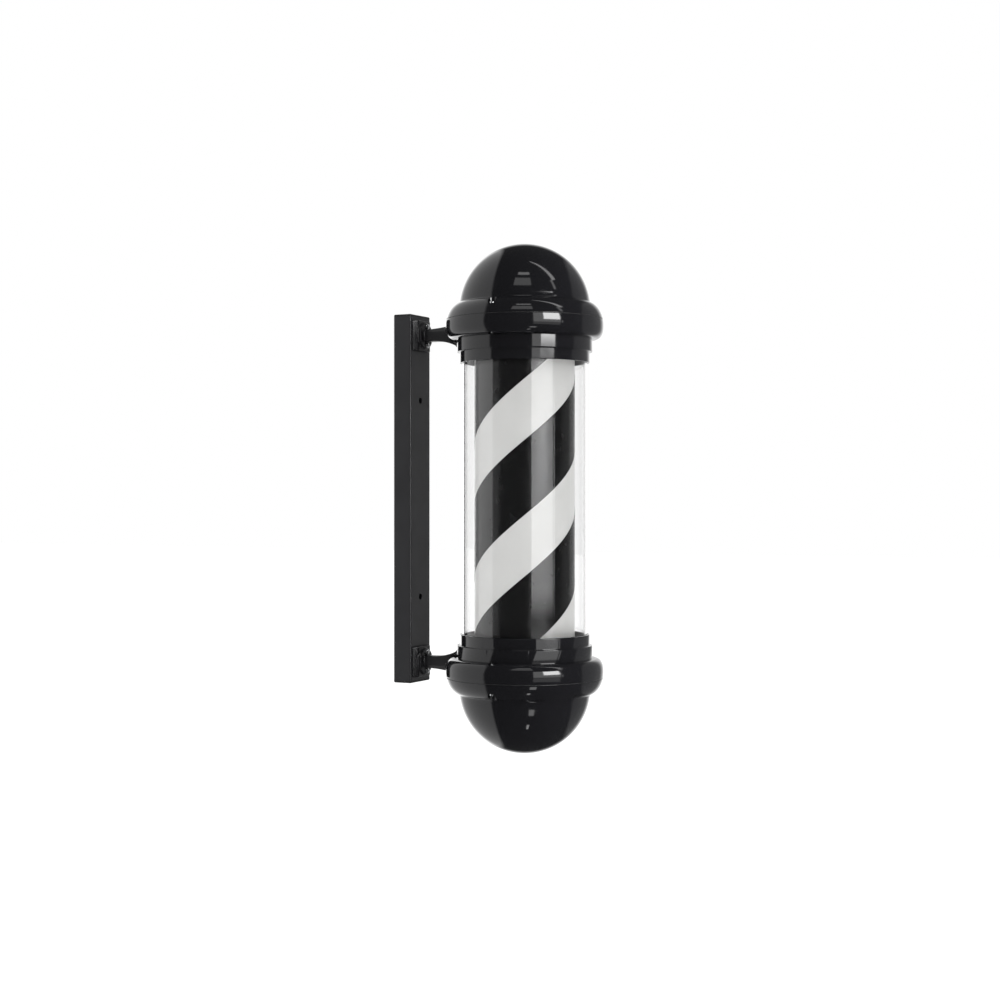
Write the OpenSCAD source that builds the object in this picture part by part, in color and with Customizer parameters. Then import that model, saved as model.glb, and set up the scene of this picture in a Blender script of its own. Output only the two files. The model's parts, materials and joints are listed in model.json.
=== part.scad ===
// Wall-mounted barber pole: a striped drum turns inside a clear tube between two domed caps,
// which two arms hold on an upright bar.
// The wall is the plane y = 0 and the pole stands in front of it, towards -Y, with its axis along Z.
// The origin is the centre of the bar's back face.

/* [Pole] */
// Height over both domes
pole_h = 700; // [660:1:760]
// Distance from the wall to the pole's axis
pole_off = 192.5; // [185:0.5:215]

/* [Clear tube] */
// Outside diameter of the clear tube
tube_d = 172; // [164:1:176]
// Wall of the clear tube
tube_wall = 3; // [2:0.5:4]
// Length of tube that each collar takes in
tube_grip = 24.5; // [18:0.5:28]
// Thickness of the rubber ring at each end of the tube
gasket_t = 1.5; // [1:0.5:2.5]

/* [Drum] */
// Outside diameter of the drum
drum_d = 138; // [130:1:141]
// Wall of the drum
drum_wall = 1.5; // [1:0.1:2.5]
// Height of one full turn of a stripe
stripe_lead = 366; // [300:1:500]
// Share of the drum that is black
stripe_share = 0.55; // [0.4:0.01:0.6]
// Direction of a white stripe's middle at half height, in degrees
stripe_turn = 88; // [0:1:180]
// Thickness of the wrapped film
film_t = 0.3; // [0.2:0.05:0.5]

/* [Caps] */
// Wall of the collar round the tube
collar_wall = 3.1; // [2.4:0.1:3.8]
// How far the collar's second step stands out
collar_step = 3.8; // [2.5:0.1:4.5]
// Height of the collar's first step
collar_low_h = 15.2; // [12:0.1:17]
// Height of the collar's second step
collar_high_h = 17.2; // [15:0.1:19]
// How far the band stands out past the collar
band_out = 15.4; // [15.2:0.1:17.5]
// Wall of the caps
cap_wall = 2.5; // [2:0.1:3]
// Width of the band's shoulder round the dome
shoulder_w = 18.1; // [17.3:0.1:18.3]
// Height of the seam over the band's widest line
seam_up = 7.6; // [6.5:0.1:9.5]
// Thickness of the seal in the seam
seal_t = 0.6; // [0.4:0.1:1]
// Distance of the cover bolts from the dome
bolt_out = 7; // [6.8:0.1:7.4]

/* [Wall bar] */
// Width of the bar
bar_w = 56; // [50:1:62]
// Depth of the bar
bar_d = 28; // [26:1:36]
// Wall of the bar
bar_wall = 2; // [1.5:0.1:2.5]
// Length of bar past each foot
bar_over = 8; // [5:0.1:20]
// Distance between the two wall screws
screw_gap = 278; // [240:1:320]
// Diameter of a wall screw hole
screw_hole_d = 5.5; // [4.5:0.1:6.5]
// Diameter of a screwdriver hole in the front face
access_d = 8.8; // [8:0.1:12]
// Thickness of the end plugs
plug_t = 3; // [2:0.5:4]

/* [Arms] */
// Height of the arms' middle over the end of the collar
arm_up = 44.4; // [43.4:0.1:45.4]
// Thickness of the foot
foot_t = 6.5; // [5:0.5:10]
// Width of the foot on the bar
foot_w = 48; // [44:1:50]
// Width of the foot's face, between its sloping sides
foot_face_w = 33; // [32:1:40]
// Height of the foot
foot_h = 43; // [42:0.5:46]
// Diameter of the round boss on the foot
boss_d = 37; // [36:0.5:40]
// Height of the round boss
boss_t = 3.5; // [2:0.5:5]
// Width of the stem
stem_w = 16; // [15:0.5:18]
// Height of the stem
stem_h = 17; // [15.5:0.5:17.5]
// Slope on the stem's outer edges
stem_slope = 4; // [2:0.5:4.5]
// Bore through the arm for the lead
lead_bore_d = 7; // [6.8:0.1:8]
// Distance between the two screws of a foot
foot_screw_gap = 27; // [26.6:0.2:29]
// Thickness of the saddle
saddle_t = 2; // [1.6:0.1:2.6]
// Half of the angle that the saddle spans
saddle_half = 43; // [30:1:46]

/* [Geared motor] */
// Gear module
gear_m = 0.5; // [0.48:0.01:0.52]
// Radius of the output shaft
shaft_r = 3; // [2.5:0.1:3.2]
// Radius of the rotor
rotor_r = 10; // [8:0.5:11]
// Height of the rotor
rotor_h = 14; // [10:0.5:18]
// Thickness of the two mounting plates
plate_t = 2; // [1.5:0.5:3]

/* [Lamp] */
// Width of the square lamp post
post_w = 16; // [14:1:18]
// Room between the lamp post's free end and the turntable
post_gap = 23; // [18:1:60]
// Diameter of the leads
lead_d = 6; // [5:0.1:6.4]

/* [Fits] */
// Room between the hub and the motor plate
hub_gap = 3.4; // [3:0.1:5]
// Gap round parts that slide into each other
slip = 0.3; // [0.2:0.05:0.4]
// Radial gap of a running fit
run_gap = 0.05; // [0.03:0.01:0.08]
// Radial gap round a fixed pin or screw
pin_gap = 0.05; // [0.03:0.01:0.1]

/* [Hidden] */

$fn = 64;
eps = 0.01;

black = [0.03, 0.03, 0.035];
dark = [0.1, 0.1, 0.11];
rubber = [0.07, 0.07, 0.07];
steel = [0.66, 0.67, 0.69];
chrome = [0.85, 0.86, 0.88];
white = [0.95, 0.95, 0.93];
brass = [0.78, 0.62, 0.3];

// The cap is drawn in its own frame: r from the pole's axis, z from the collar's end to the dome.
tube_r = tube_d / 2;
socket_r = tube_r + slip;
collar_r = socket_r + collar_wall;
collar_r2 = collar_r + collar_step;
step_z = collar_low_h;
under_z = collar_low_h + collar_high_h;
band_r = collar_r2 + band_out;
dome_r = band_r - shoulder_w;
bolt_r = dome_r + bolt_out;
// Half-axes and power of the band's round on the collar side, and half-axes on the dome side
under_flat = 1.9;
low_a = band_out - under_flat;
low_b = 19;
low_n = 2.6;
up_a = 22;
up_b = 31.2;
under_rise = 0.5;
band_mid = under_z + under_rise + low_b;
seam_z = band_mid + seam_up;
dome_up = 21.5;
dome_mid = band_mid + dome_up;
dome_in_r = dome_r - cap_wall;
apex_z = dome_mid + dome_r;
edge = 0.8;
socket_z = tube_grip + gasket_t;
floor_z = band_mid - low_b + cap_wall;
ledge_w = 8;
ledge_in = tube_r - tube_wall - ledge_w;
lip_t = 1.6;
lip_h = 5.6;
neck_r = 2.6;
cap_end = pole_h / 2 - apex_z;
column_r = 7.5;
pocket_r = 6;
pocket_deep = 8.7;
nut_floor = under_z + pocket_deep;
head_up = 21.2;
head_floor = band_mid + head_up;
bolt_end = 3.8;
bush_r = 4.5;
bush_lip = 1;
bush_lip_t = 1.6;
bush_seat = 4.2;
bush_end = 2.3;
bush_seat_r = bush_r + bush_lip + 0.5;
seat_in = 1.2;
seat_skin = 0.6;
skin_gap = 0.15;

// Metric screw sizes: radius, head radius, head height
m4_r = 2;
m4_head_r = 4;
m4_head_h = 3.1;
m4_nut_af = 7;
m4_nut_h = 3.2;
m3_r = 1.5;
m3_head_r = 2.75;
m3_head_h = 2.4;

// Arms
arm_z = cap_end + arm_up;
bar_h = 2 * (arm_z + foot_h / 2 + bar_over);
foot_y = bar_d + foot_t + boss_t;
env_gap = 0.25;
saddle_screw_turn = 12;
saddle_screw_z = band_mid - 4;
saddle_boss_h = 3;
saddle_boss_r = 4.5;
nut_plate_t = 3;
nut_plate_h = 36;
nut_plate_w = 30;
saddle_up = 0.5;
seam_gap = 1;
root_r = 5;
root_out = 3.6;
screw_end = 0.5;
lead_hole_r = lead_bore_d / 2 + 1;
splice_z = cap_end + 4;
splice_h = 26;
splice_w = 30;
splice_d = 14;
splice_x = 5;
lead_x = 13;
lead_y = bar_wall + slip + splice_d / 2;
plug_deep = 4;
grommet_wall = 1.5;
grommet_r = lead_d / 2 + grommet_wall;

// Places along the axis, in the whole part's frame
plate_z = cap_end + floor_z;
plate_on = 10;
plate_r = ledge_in + plate_on;
plate_screw_r = ledge_in + plate_on / 2;
plate_turns = [30, 150, 270];
plate_screw_end = 5.5;
tube_h = 2 * (cap_end + tube_grip);
drum_r = drum_d / 2;
drum_in_r = drum_r - drum_wall;
disc_t = 2;
rim_h = 12;
rim_t = 3;
rim_gap = 0.1;
rim_turns = [0, 120, 240];
hub_len = 14;
drum_top = plate_z - hub_gap - hub_len - disc_t;
drum_h = 2 * drum_top;
drum_screw_len = 4;
drum_screw_in = 0.1;
socket_deep = 1;
motor_face = -(plate_z + plate_t);

// Ball bearing, 20 x 32 x 7
race_in = 10;
race_out = 16;
race_w = 7;
ball_r = 2;
ball_ring = 13;
ball_n = 10;
land = 1.2;
bearing_z = drum_top - race_w / 2;
cage_half = 0.65;
cage_w = 5.2;
clip_t = 1;
clip_play = 0.1;
clip_bite = 0.85;
clip_over = 1.4;
clip_cut = 3;
hub_shoulder = 2;
spider_wall = 4;
spoke_w = 10;
spoke_h = 5;
spoke_down = 2;

// Hub on the motor shaft
hub_r = 10;
hub_flange_r = 22;
hub_flange_t = 3;
hub_screw_r = 16;
hub_turns = [90, 210, 330];
grub_up = 5;
shaft_short = 1;

// Gear train: teeth of each pair, then centres seen from the drum's axis
pinion_n = 12;
wheel_out = 48;
wheel_two = 45;
wheel_one = 40;
press = 25;
tip_k = 0.9;
root_k = 1.2;
tooth_play = 0.09;
gap_out = gear_m * (pinion_n + wheel_out) / 2;
gap_two = gear_m * (pinion_n + wheel_two) / 2;
gap_one = gear_m * (pinion_n + wheel_one) / 2;
can_off = gear_m * 16;
two_reach = gear_m * 24;
function side_angle(a, b, c) = acos((a * a + b * b - c * c) / (2 * a * b));
can_c = [-can_off, 0];
two_turn = side_angle(can_off, two_reach, gap_out);
two_c = can_c + two_reach * [cos(two_turn), sin(two_turn)];
one_turn = two_turn + side_angle(two_reach, gap_one, gap_two);
one_c = can_c + gap_one * [cos(one_turn), sin(one_turn)];
can_gap = 0.5;
can_in_r = max(gap_one + gear_m * (wheel_one / 2 + 1), two_reach + gear_m * (wheel_two / 2 + 1)) + can_gap;
can_wall = 0.8;
can_r = can_in_r + can_wall;
cover_t = 1.2;
level_gap = 0.6;
out_face = 3;
two_face = 2.6;
one_face = 2.2;
mid_t = 1;
// Depths under the motor's mounting face
out_top = cover_t + level_gap;
two_top = out_top + out_face + level_gap;
one_top = two_top + two_face + level_gap;
mid_top = one_top + one_face + level_gap;
rotor_top = mid_top + mid_t + level_gap;
can_deep = rotor_top + rotor_h + level_gap + can_wall;
axle_r = 1;
ear_r = 5;
ear_off = can_r + ear_r + 1;
ear_len = 10;
bush_wall = 2;
bush_up = 1;
shaft_up = -drum_top - shaft_short - motor_face;
neck_hole_r = 4.5;
rotor_neck_r = 3.4;
coil_gap = 1;
mesh_gap = 0.3;
join = 0.1;

// Wiring and boxes
bend_more = 0.5;
driver_w = 80;
driver_d = 44;
driver_h = 24;
driver_in = 39;
driver_y = driver_in - plate_r;
block_w = 34;
block_d = 16;
block_h = 14;
block_y = 45;
strip_w = 10;
strip_t = 1;
strip_end = 8;
chip_gap = 28;
chip_w = 5;
chip_t = 1;
post_neck = 10;
neck_low = drum_top - race_w - post_neck;
post_h = neck_low + drum_top - post_gap;
post_screw_r = hub_screw_r + 1;
post_screw_end = 4;
post_bore_r = 4;
post_shoulder = 1.5;
flange_r = 22;
flange_t = 4;
plate_hole_r = 6;
ear_w = 12;
ear_t = 2;
driver_ear = 10;
driver_screw_x = driver_w / 2 + driver_ear / 2;
port_r = 2.2;
port_gap = 10;
port_deep = 4;
inner_lead_d = 4;
inner_lead_up = 5;
lead_down = 40;

// Outline helpers. g is how far the outline lies inside the outer skin.
function low_arc(g, from, to, n) = [
    for (i = [0:n])
        let (t = from + (to - from) * i / n)
            [band_r - low_a + (low_a - g) * pow(cos(t), 2 / low_n),
             band_mid - (low_b - g) * pow(sin(t), 2 / low_n)]];
function up_arc(g, from, to, n) = [
    for (i = [0:n])
        let (t = from + (to - from) * i / n)
            [band_r - up_a + (up_a - g) * cos(t), band_mid + (up_b - g) * sin(t)]];
function seam_turn(g, z) = asin((z - band_mid) / (up_b - g));
function arc_pts(cr, cz, r, from, to, n) = [
    for (i = [0:n])
        let (t = from + (to - from) * i / n)
            [cr + r * cos(t), cz + r * sin(t)]];
neck_in = 0.4;
in_turn = 82;
neck_c = dome_r - neck_in + neck_r;
neck_turn = acos((neck_c - band_r + up_a) / up_a);
neck_z = band_mid + up_b * sin(neck_turn);
dome_start = asin((neck_z + neck_r - dome_mid) / dome_r);
in_top_z = band_mid + up_b - cap_wall;
dome_in_start = asin((in_top_z - dome_mid) / dome_in_r);
lip_r = band_r - up_a + (up_a - cap_wall) * cos(seam_turn(cap_wall, seam_z)) - slip;
lip_in_turn = acos((lip_r - lip_t - band_r + up_a) / (up_a - cap_wall));

// Places its children in the upper cap's frame for side 1, or in the lower cap's for side -1
module cap_place(side) {
    if (side > 0)
        translate([0, -pole_off, cap_end]) children();
    else
        mirror([0, 0, 1]) translate([0, -pole_off, cap_end]) children();
}

module on_axis(z) {
    translate([0, -pole_off, z]) children();
}

module ring(r_out, r_in, h) {
    rotate_extrude($fn = 128) translate([r_in, 0]) square([r_out - r_in, h]);
}

// A round lead along a list of points, a little thicker at its bends
module lead(pts, d) {
    for (i = [0:len(pts) - 2]) {
        v = pts[i + 1] - pts[i];
        l = norm(v);
        translate(pts[i]) rotate([0, acos(v[2] / l), atan2(v[1], v[0])]) cylinder(h = l, d = d, $fn = 24);
        if (i > 0)
            translate(pts[i]) sphere(d = d + bend_more, $fn = 24);
    }
}

// A pan-head screw with its head on z = 0 and its shank towards -z
module pan_screw(r, len, head_r, head_h) {
    translate([0, 0, -len]) cylinder(r = r, h = len + eps, $fn = 24);
    difference() {
        rotate_extrude($fn = 32)
            polygon([[0, 0], [head_r, 0], [head_r, head_h * 0.5], [head_r * 0.86, head_h * 0.8],
                     [head_r * 0.55, head_h], [0, head_h]]);
        for (a = [0, 90])
            rotate([0, 0, a])
                translate([-head_r * 0.55, -head_r * 0.12, head_h * 0.45])
                    cube([head_r * 1.1, head_r * 0.24, head_h]);
    }
}

// Wall bar

module bar_tube() {
    inner_w = bar_w - 2 * bar_wall;
    inner_d = bar_d - 2 * bar_wall;
    tube_len = bar_h - 2 * plug_t;
    difference() {
        translate([-bar_w / 2, -bar_d, -tube_len / 2]) cube([bar_w, bar_d, tube_len]);
        translate([-inner_w / 2, -bar_d + bar_wall, -tube_len]) cube([inner_w, inner_d, 2 * tube_len]);
        for (s = [-1, 1]) {
            translate([0, eps, s * screw_gap / 2])
                rotate([90, 0, 0]) cylinder(d = screw_hole_d, h = bar_d / 2);
            translate([0, -bar_d / 2, s * screw_gap / 2])
                rotate([90, 0, 0]) cylinder(d = access_d, h = bar_d);
            translate([0, -bar_d / 2, s * arm_z]) {
                rotate([90, 0, 0]) cylinder(r = lead_hole_r, h = bar_d);
                for (k = [-1, 1])
                    translate([0, 0, k * foot_screw_gap / 2])
                        rotate([90, 0, 0]) cylinder(r = m4_r + slip, h = bar_d);
            }
        }
    }
}

module bar_plug() {
    inner_w = bar_w - 2 * (bar_wall + slip);
    inner_d = bar_d - 2 * (bar_wall + slip);
    translate([-bar_w / 2, -bar_d, bar_h / 2 - plug_t]) cube([bar_w, bar_d, plug_t]);
    translate([-inner_w / 2, -bar_d + bar_wall + slip, bar_h / 2 - plug_t - plug_deep])
        cube([inner_w, inner_d, plug_deep + eps]);
}

module wall_bar() {
    color(dark) bar_tube();
}

module bar_cap_top() {
    color(black) bar_plug();
}

module bar_cap_bottom() {
    color(black)
        difference() {
            mirror([0, 0, 1]) bar_plug();
            translate([lead_x, -lead_y, -bar_h])
                cylinder(r = grommet_r, h = bar_h);
        }
}

module lead_grommet() {
    color(rubber)
        translate([lead_x, -lead_y, -bar_h / 2])
            difference() {
                union() {
                    translate([0, 0, -grommet_wall])
                        cylinder(r = grommet_r + grommet_wall, h = grommet_wall);
                    cylinder(r = grommet_r - pin_gap, h = plug_t + plug_deep);
                }
                translate([0, 0, -2 * grommet_wall])
                    cylinder(r = lead_d / 2 + pin_gap, h = plug_t + plug_deep + 3 * grommet_wall);
            }
}

module nut_plates() {
    color(steel)
        for (s = [-1, 1])
            translate([0, -bar_d + bar_wall + nut_plate_t, s * arm_z])
                difference() {
                    translate([-nut_plate_w / 2, -nut_plate_t, -nut_plate_h / 2])
                        cube([nut_plate_w, nut_plate_t, nut_plate_h]);
                    translate([0, 1, 0]) rotate([90, 0, 0]) cylinder(r = lead_hole_r, h = nut_plate_t + 2);
                    for (k = [-1, 1])
                        translate([0, 1, k * foot_screw_gap / 2])
                            rotate([90, 0, 0]) cylinder(r = m4_r + pin_gap, h = nut_plate_t + 2, $fn = 24);
                }
}

module foot_screws() {
    screw_len = foot_t + boss_t + bar_wall + nut_plate_t + screw_end;
    color(chrome)
        for (s = [-1, 1], k = [-1, 1])
            translate([0, -foot_y, s * arm_z + k * foot_screw_gap / 2])
                rotate([90, 0, 0]) pan_screw(m4_r, screw_len, m4_head_r, m4_head_h);
}

// Arms

// Everything inside the cap's skin, widened by a gap, so that the saddle lies on it
module cap_envelope() {
    rotate_extrude($fn = 128)
        polygon(concat(
            [[0, -1], [collar_r + env_gap, -1], [collar_r + env_gap, step_z - env_gap],
             [collar_r2 + env_gap, step_z - env_gap], [collar_r2 + env_gap, under_z - env_gap]],
            low_arc(-env_gap, 90, 0, 14),
            up_arc(-env_gap, 3, 60, 12),
            [[0, band_mid + up_b]]));
}

module saddle() {
    g = -env_gap - saddle_t;
    foot_turn = acos(pow((collar_r2 - g - band_r + low_a) / (low_a - g), low_n / 2));
    rotate([0, 0, 90 - saddle_half])
        rotate_extrude(angle = 2 * saddle_half, $fn = 128)
            polygon(concat(
                [[collar_r - 2, saddle_up], [collar_r - g, saddle_up], [collar_r - g, step_z + g],
                 [collar_r2 - g, step_z + g]],
                low_arc(g, foot_turn, 0, 12),
                up_arc(g, 3, seam_turn(g, seam_z - seam_gap), 5),
                [[collar_r - 2, seam_z - seam_gap]]));
}

// Side view of stem and gusset: distance from the pole's axis, height over the collar's end
module stem_outline() {
    back = pole_off - foot_y + 1;
    top_z = arm_up + stem_h / 2;
    low_z = arm_up - stem_h / 2;
    in_r = collar_r2;
    face_r = band_r + saddle_t;
    head_h = 5;
    gusset_r = 86;
    gusset_turn = 114;
    gusset_c = [face_r + 29, low_z - gusset_r];
    gusset_low = under_z - 14;
    web = 4.3;
    difference() {
        polygon(concat(
            [[back, low_z], [back, top_z], [face_r + 33, top_z + 0.9], [face_r + 23, top_z + 1.8],
             [face_r + 14, top_z + 3.2], [face_r + 6, top_z + 0.9 * head_h],
             [band_r - 3, top_z + head_h], [in_r, top_z + head_h],
             [in_r, gusset_low], [in_r + 3, gusset_low + 1]],
            arc_pts(gusset_c[0], gusset_c[1], gusset_r, gusset_turn, 90, 10)));
        // Window under the band, between the stem and the gusset
        polygon([[in_r + saddle_t, gusset_low + web], [in_r + saddle_t, under_z + 2],
                 [face_r - 8, under_z + 3], [face_r - 1, under_z + 9.5],
                 [face_r + web, under_z + 9.3], [face_r + web, under_z + 5.5],
                 [face_r - 1, under_z + 1.5], [face_r - 8, under_z - 2.4]]);
    }
}

// The foot seen from above, with sides that slope in to its face
module foot_outline() {
    polygon([[-foot_w / 2, -bar_d], [foot_w / 2, -bar_d], [foot_face_w / 2, -bar_d - foot_t],
             [-foot_face_w / 2, -bar_d - foot_t]]);
}

module arm() {
    slope_len = pole_off - foot_y - band_r - saddle_t + 1;
    slope_up = 8;
    difference() {
        union() {
            translate([0, 0, arm_z - foot_h / 2]) linear_extrude(foot_h) foot_outline();
            intersection() {
                translate([0, -bar_d - foot_t / 2, arm_z])
                    rotate([90, 0, 0]) cylinder(d = boss_d, h = foot_t / 2 + boss_t, $fn = 96);
                translate([-foot_face_w / 2, -foot_y - 1, arm_z - boss_d])
                    cube([foot_face_w, foot_y, 2 * boss_d]);
            }
            // Concave root where the stem leaves the boss
            intersection() {
                translate([0, -foot_y, arm_z])
                    rotate([90, 0, 0])
                        rotate_extrude($fn = 64)
                            polygon(concat([[0, -1], [stem_h / 2 + 0.5, -1]],
                                arc_pts(stem_h / 2 + root_out, root_r, root_r, 232, 180, 6),
                                [[0, root_r]]));
                translate([-stem_w / 2, -foot_y - root_r - 1, arm_z - stem_h])
                    cube([stem_w, root_r + 3, 2 * stem_h]);
            }
            cap_place(1) {
                difference() {
                    translate([-stem_w / 2, 0, 0])
                        rotate([90, 0, 90]) linear_extrude(stem_w) stem_outline();
                    for (s = [-1, 1])
                        translate([s * stem_w / 2, pole_off - foot_y + 2, arm_up + stem_h / 2])
                            rotate([90, 0, 0])
                                linear_extrude(slope_len)
                                    polygon([[s, -stem_slope - 1], [s, slope_up],
                                             [-s * (stem_slope + slope_up), slope_up]]);
                }
                saddle();
                for (s = [-1, 1])
                    rotate([0, 0, s * saddle_screw_turn])
                        translate([0, band_r - 3, saddle_screw_z])
                            rotate([-90, 0, 0])
                                cylinder(r = saddle_boss_r, h = 3 + saddle_t + saddle_boss_h, $fn = 32);
            }
        }
        cap_place(1) {
            cap_envelope();
            for (s = [-1, 1])
                rotate([0, 0, s * saddle_screw_turn])
                    translate([0, band_r - 5, saddle_screw_z])
                        rotate([-90, 0, 0]) cylinder(r = m4_r + pin_gap, h = 20, $fn = 24);
            translate([0, 0, arm_up])
                rotate([-90, 0, 0]) cylinder(d = lead_bore_d, h = pole_off, $fn = 32);
        }
        for (k = [-1, 1])
            translate([0, 0, arm_z + k * foot_screw_gap / 2])
                rotate([90, 0, 0]) cylinder(r = m4_r + pin_gap, h = foot_y + 4, $fn = 24);
    }
}

module arm_top() {
    color(black) arm();
}

module arm_bottom() {
    color(black) mirror([0, 0, 1]) arm();
}

module saddle_screws() {
    screw_len = cap_wall + env_gap + saddle_t + saddle_boss_h;
    color(steel)
        for (side = [-1, 1], s = [-1, 1])
            cap_place(side)
                rotate([0, 0, s * saddle_screw_turn])
                    translate([0, band_r - cap_wall - seat_in, saddle_screw_z])
                        rotate([90, 0, 0]) pan_screw(m4_r, screw_len, m4_head_r, m4_head_h);
}

// Caps

module housing_shell() {
    rotate_extrude($fn = 128)
        polygon(concat(
            [[socket_r, 0], [collar_r - edge, 0], [collar_r, edge], [collar_r, step_z],
             [collar_r2 - edge, step_z], [collar_r2, step_z + edge], [collar_r2, under_z]],
            low_arc(0, 90, 0, 18),
            up_arc(0, 4, seam_turn(0, seam_z), 6),
            up_arc(cap_wall, seam_turn(cap_wall, seam_z), 4, 5),
            low_arc(cap_wall, 0, 90, 14),
            [[ledge_in, floor_z], [ledge_in, socket_z], [socket_r, socket_z]]));
}

// Everything up to the middle of the housing's wall
module wall_core() {
    rotate_extrude($fn = 128)
        polygon(concat(
            [[ledge_in, band_mid - low_b + seat_skin]],
            low_arc(seat_skin, 90, 0, 16),
            up_arc(seat_skin, 4, seam_turn(seat_skin, seam_z), 6),
            [[ledge_in, seam_z]]));
}

module housing(side) {
    cap_place(side)
        difference() {
            union() {
                housing_shell();
                for (s = [-1, 1])
                    translate([s * bolt_r, 0, floor_z - 1])
                        cylinder(r = column_r, h = seam_z - floor_z + 1, $fn = 48);
                // Flat seats for the heads of the saddle screws and for the lip of the lead's bush
                intersection() {
                    union() {
                        for (s = [-1, 1])
                            rotate([0, 0, s * saddle_screw_turn])
                                translate([0, band_r - cap_wall - seat_in, saddle_screw_z])
                                    rotate([-90, 0, 0]) cylinder(r = m4_head_r + 1, h = 3, $fn = 32);
                        translate([0, band_r - cap_wall - bush_seat, arm_up])
                            rotate([-90, 0, 0])
                                cylinder(r = bush_seat_r, h = bush_seat + cap_wall, $fn = 48);
                    }
                    wall_core();
                }
            }
            for (s = [-1, 1])
                translate([s * bolt_r, 0, 0]) {
                    translate([0, 0, under_z + eps])
                        cylinder(r = pocket_r, h = pocket_deep - eps, $fn = 48);
                    cylinder(r = m4_r + slip, h = seam_z + 1, $fn = 32);
                }
            for (s = [-1, 1])
                rotate([0, 0, s * saddle_screw_turn])
                    translate([0, band_r - 10, saddle_screw_z])
                        rotate([-90, 0, 0]) cylinder(r = m4_r + slip, h = 20, $fn = 24);
            translate([0, band_r - 12, arm_up])
                rotate([-90, 0, 0]) cylinder(r = bush_r, h = 20, $fn = 32);
            for (a = plate_turns)
                rotate([0, 0, a])
                    translate([plate_screw_r, 0, socket_z - 1])
                        cylinder(r = m4_r + pin_gap, h = floor_z, $fn = 24);
        }
}

module cover_shell() {
    seam_top = seam_z + seal_t;
    rotate_extrude($fn = 128)
        polygon(concat(
            up_arc(0, seam_turn(0, seam_top), neck_turn, 20),
            arc_pts(neck_c, neck_z + neck_r, neck_r, 255, 180, 5),
            arc_pts(0, dome_mid, dome_r, dome_start + 0.5, 90, 30),
            arc_pts(0, dome_mid, dome_in_r, 90, dome_in_start, 24),
            up_arc(cap_wall, in_turn, lip_in_turn, 12),
            [[lip_r - lip_t, seam_top - lip_h], [lip_r, seam_top - lip_h], [lip_r, seam_top]]));
}

module cover(side) {
    cap_place(side)
        difference() {
            union() {
                difference() {
                    cover_shell();
                    for (s = [-1, 1])
                        translate([s * bolt_r, 0, 0])
                            cylinder(r = column_r + 1, h = seam_z + seal_t, $fn = 48);
                }
                intersection() {
                    for (s = [-1, 1])
                        translate([s * bolt_r, 0, seam_z]) cylinder(r = column_r, h = up_b, $fn = 48);
                    rotate_extrude($fn = 128)
                        polygon(concat([[dome_r - 8, seam_z]], up_arc(0.8, seam_turn(0.8, seam_z), 84, 12),
                            [[dome_r - 8, band_mid + up_b - 0.9]]));
                }
            }
            for (s = [-1, 1])
                translate([s * bolt_r, 0, 0]) {
                    translate([0, 0, head_floor]) cylinder(r = pocket_r, h = 20, $fn = 48);
                    cylinder(r = m4_r + slip, h = head_floor + 1, $fn = 32);
                }
        }
}

module seam_seal(side) {
    out_r = band_r - up_a + up_a * cos(seam_turn(0, seam_z)) - skin_gap;
    color(rubber)
        cap_place(side)
            translate([0, 0, seam_z]) ring(out_r, lip_r + skin_gap, seal_t);
}

module tube_gasket(side) {
    color(rubber)
        cap_place(side)
            translate([0, 0, tube_grip]) ring(tube_r - skin_gap, tube_r - tube_wall - gasket_t, gasket_t);
}

// Rubber bush in the housing's wall, with its lip on a flat seat inside the wall
module lead_bush(side) {
    neck_len = bush_lip_t + bush_seat + cap_wall - bush_end;
    color(rubber)
        cap_place(side)
            translate([0, band_r - cap_wall - bush_seat - bush_lip_t, arm_up])
                rotate([-90, 0, 0])
                    difference() {
                        union() {
                            cylinder(r = bush_r + bush_lip, h = bush_lip_t, $fn = 32);
                            cylinder(r = bush_r - pin_gap, h = neck_len, $fn = 32);
                        }
                        translate([0, 0, -1])
                            cylinder(r = lead_d / 2 + pin_gap, h = neck_len + 2, $fn = 32);
                    }
}

module housing_top() {
    color(black) housing(1);
}

module housing_bottom() {
    color(black) housing(-1);
}

module cover_top() {
    color(black) cover(1);
}

module cover_bottom() {
    color(black) cover(-1);
}

module seam_seal_top() {
    seam_seal(1);
}

module seam_seal_bottom() {
    seam_seal(-1);
}

module tube_gasket_top() {
    tube_gasket(1);
}

module tube_gasket_bottom() {
    tube_gasket(-1);
}

module lead_bush_top() {
    lead_bush(1);
}

module lead_bush_bottom() {
    lead_bush(-1);
}

module cover_bolts() {
    bolt_len = head_floor - nut_floor + m4_nut_h + bolt_end;
    color(chrome)
        for (side = [-1, 1], s = [-1, 1])
            cap_place(side)
                translate([s * bolt_r, 0, head_floor]) pan_screw(m4_r, bolt_len, m4_head_r, m4_head_h);
}

module cover_nuts() {
    color(chrome)
        for (side = [-1, 1], s = [-1, 1])
            cap_place(side)
                translate([s * bolt_r, 0, nut_floor - m4_nut_h])
                    difference() {
                        rotate([0, 0, 30]) cylinder(r = m4_nut_af / sqrt(3), h = m4_nut_h, $fn = 6);
                        translate([0, 0, -1]) cylinder(r = m4_r + pin_gap, h = m4_nut_h + 2, $fn = 24);
                    }
}

module clear_tube() {
    color([0.8, 0.9, 0.95, 0.35])
        on_axis(-tube_h / 2) ring(tube_r, tube_r - tube_wall, tube_h);
}

// Drum

module drum_shell() {
    color(white)
        on_axis(0)
            difference() {
                translate([0, 0, -drum_top]) ring(drum_r, drum_in_r, drum_h);
                for (side = [-1, 1], a = rim_turns)
                    translate([0, 0, side * (drum_top - rim_h / 2)])
                        rotate([0, 0, a]) rotate([0, 90, 0])
                            cylinder(r = m3_r + pin_gap, h = drum_r + 1, $fn = 20);
            }
}

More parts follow.
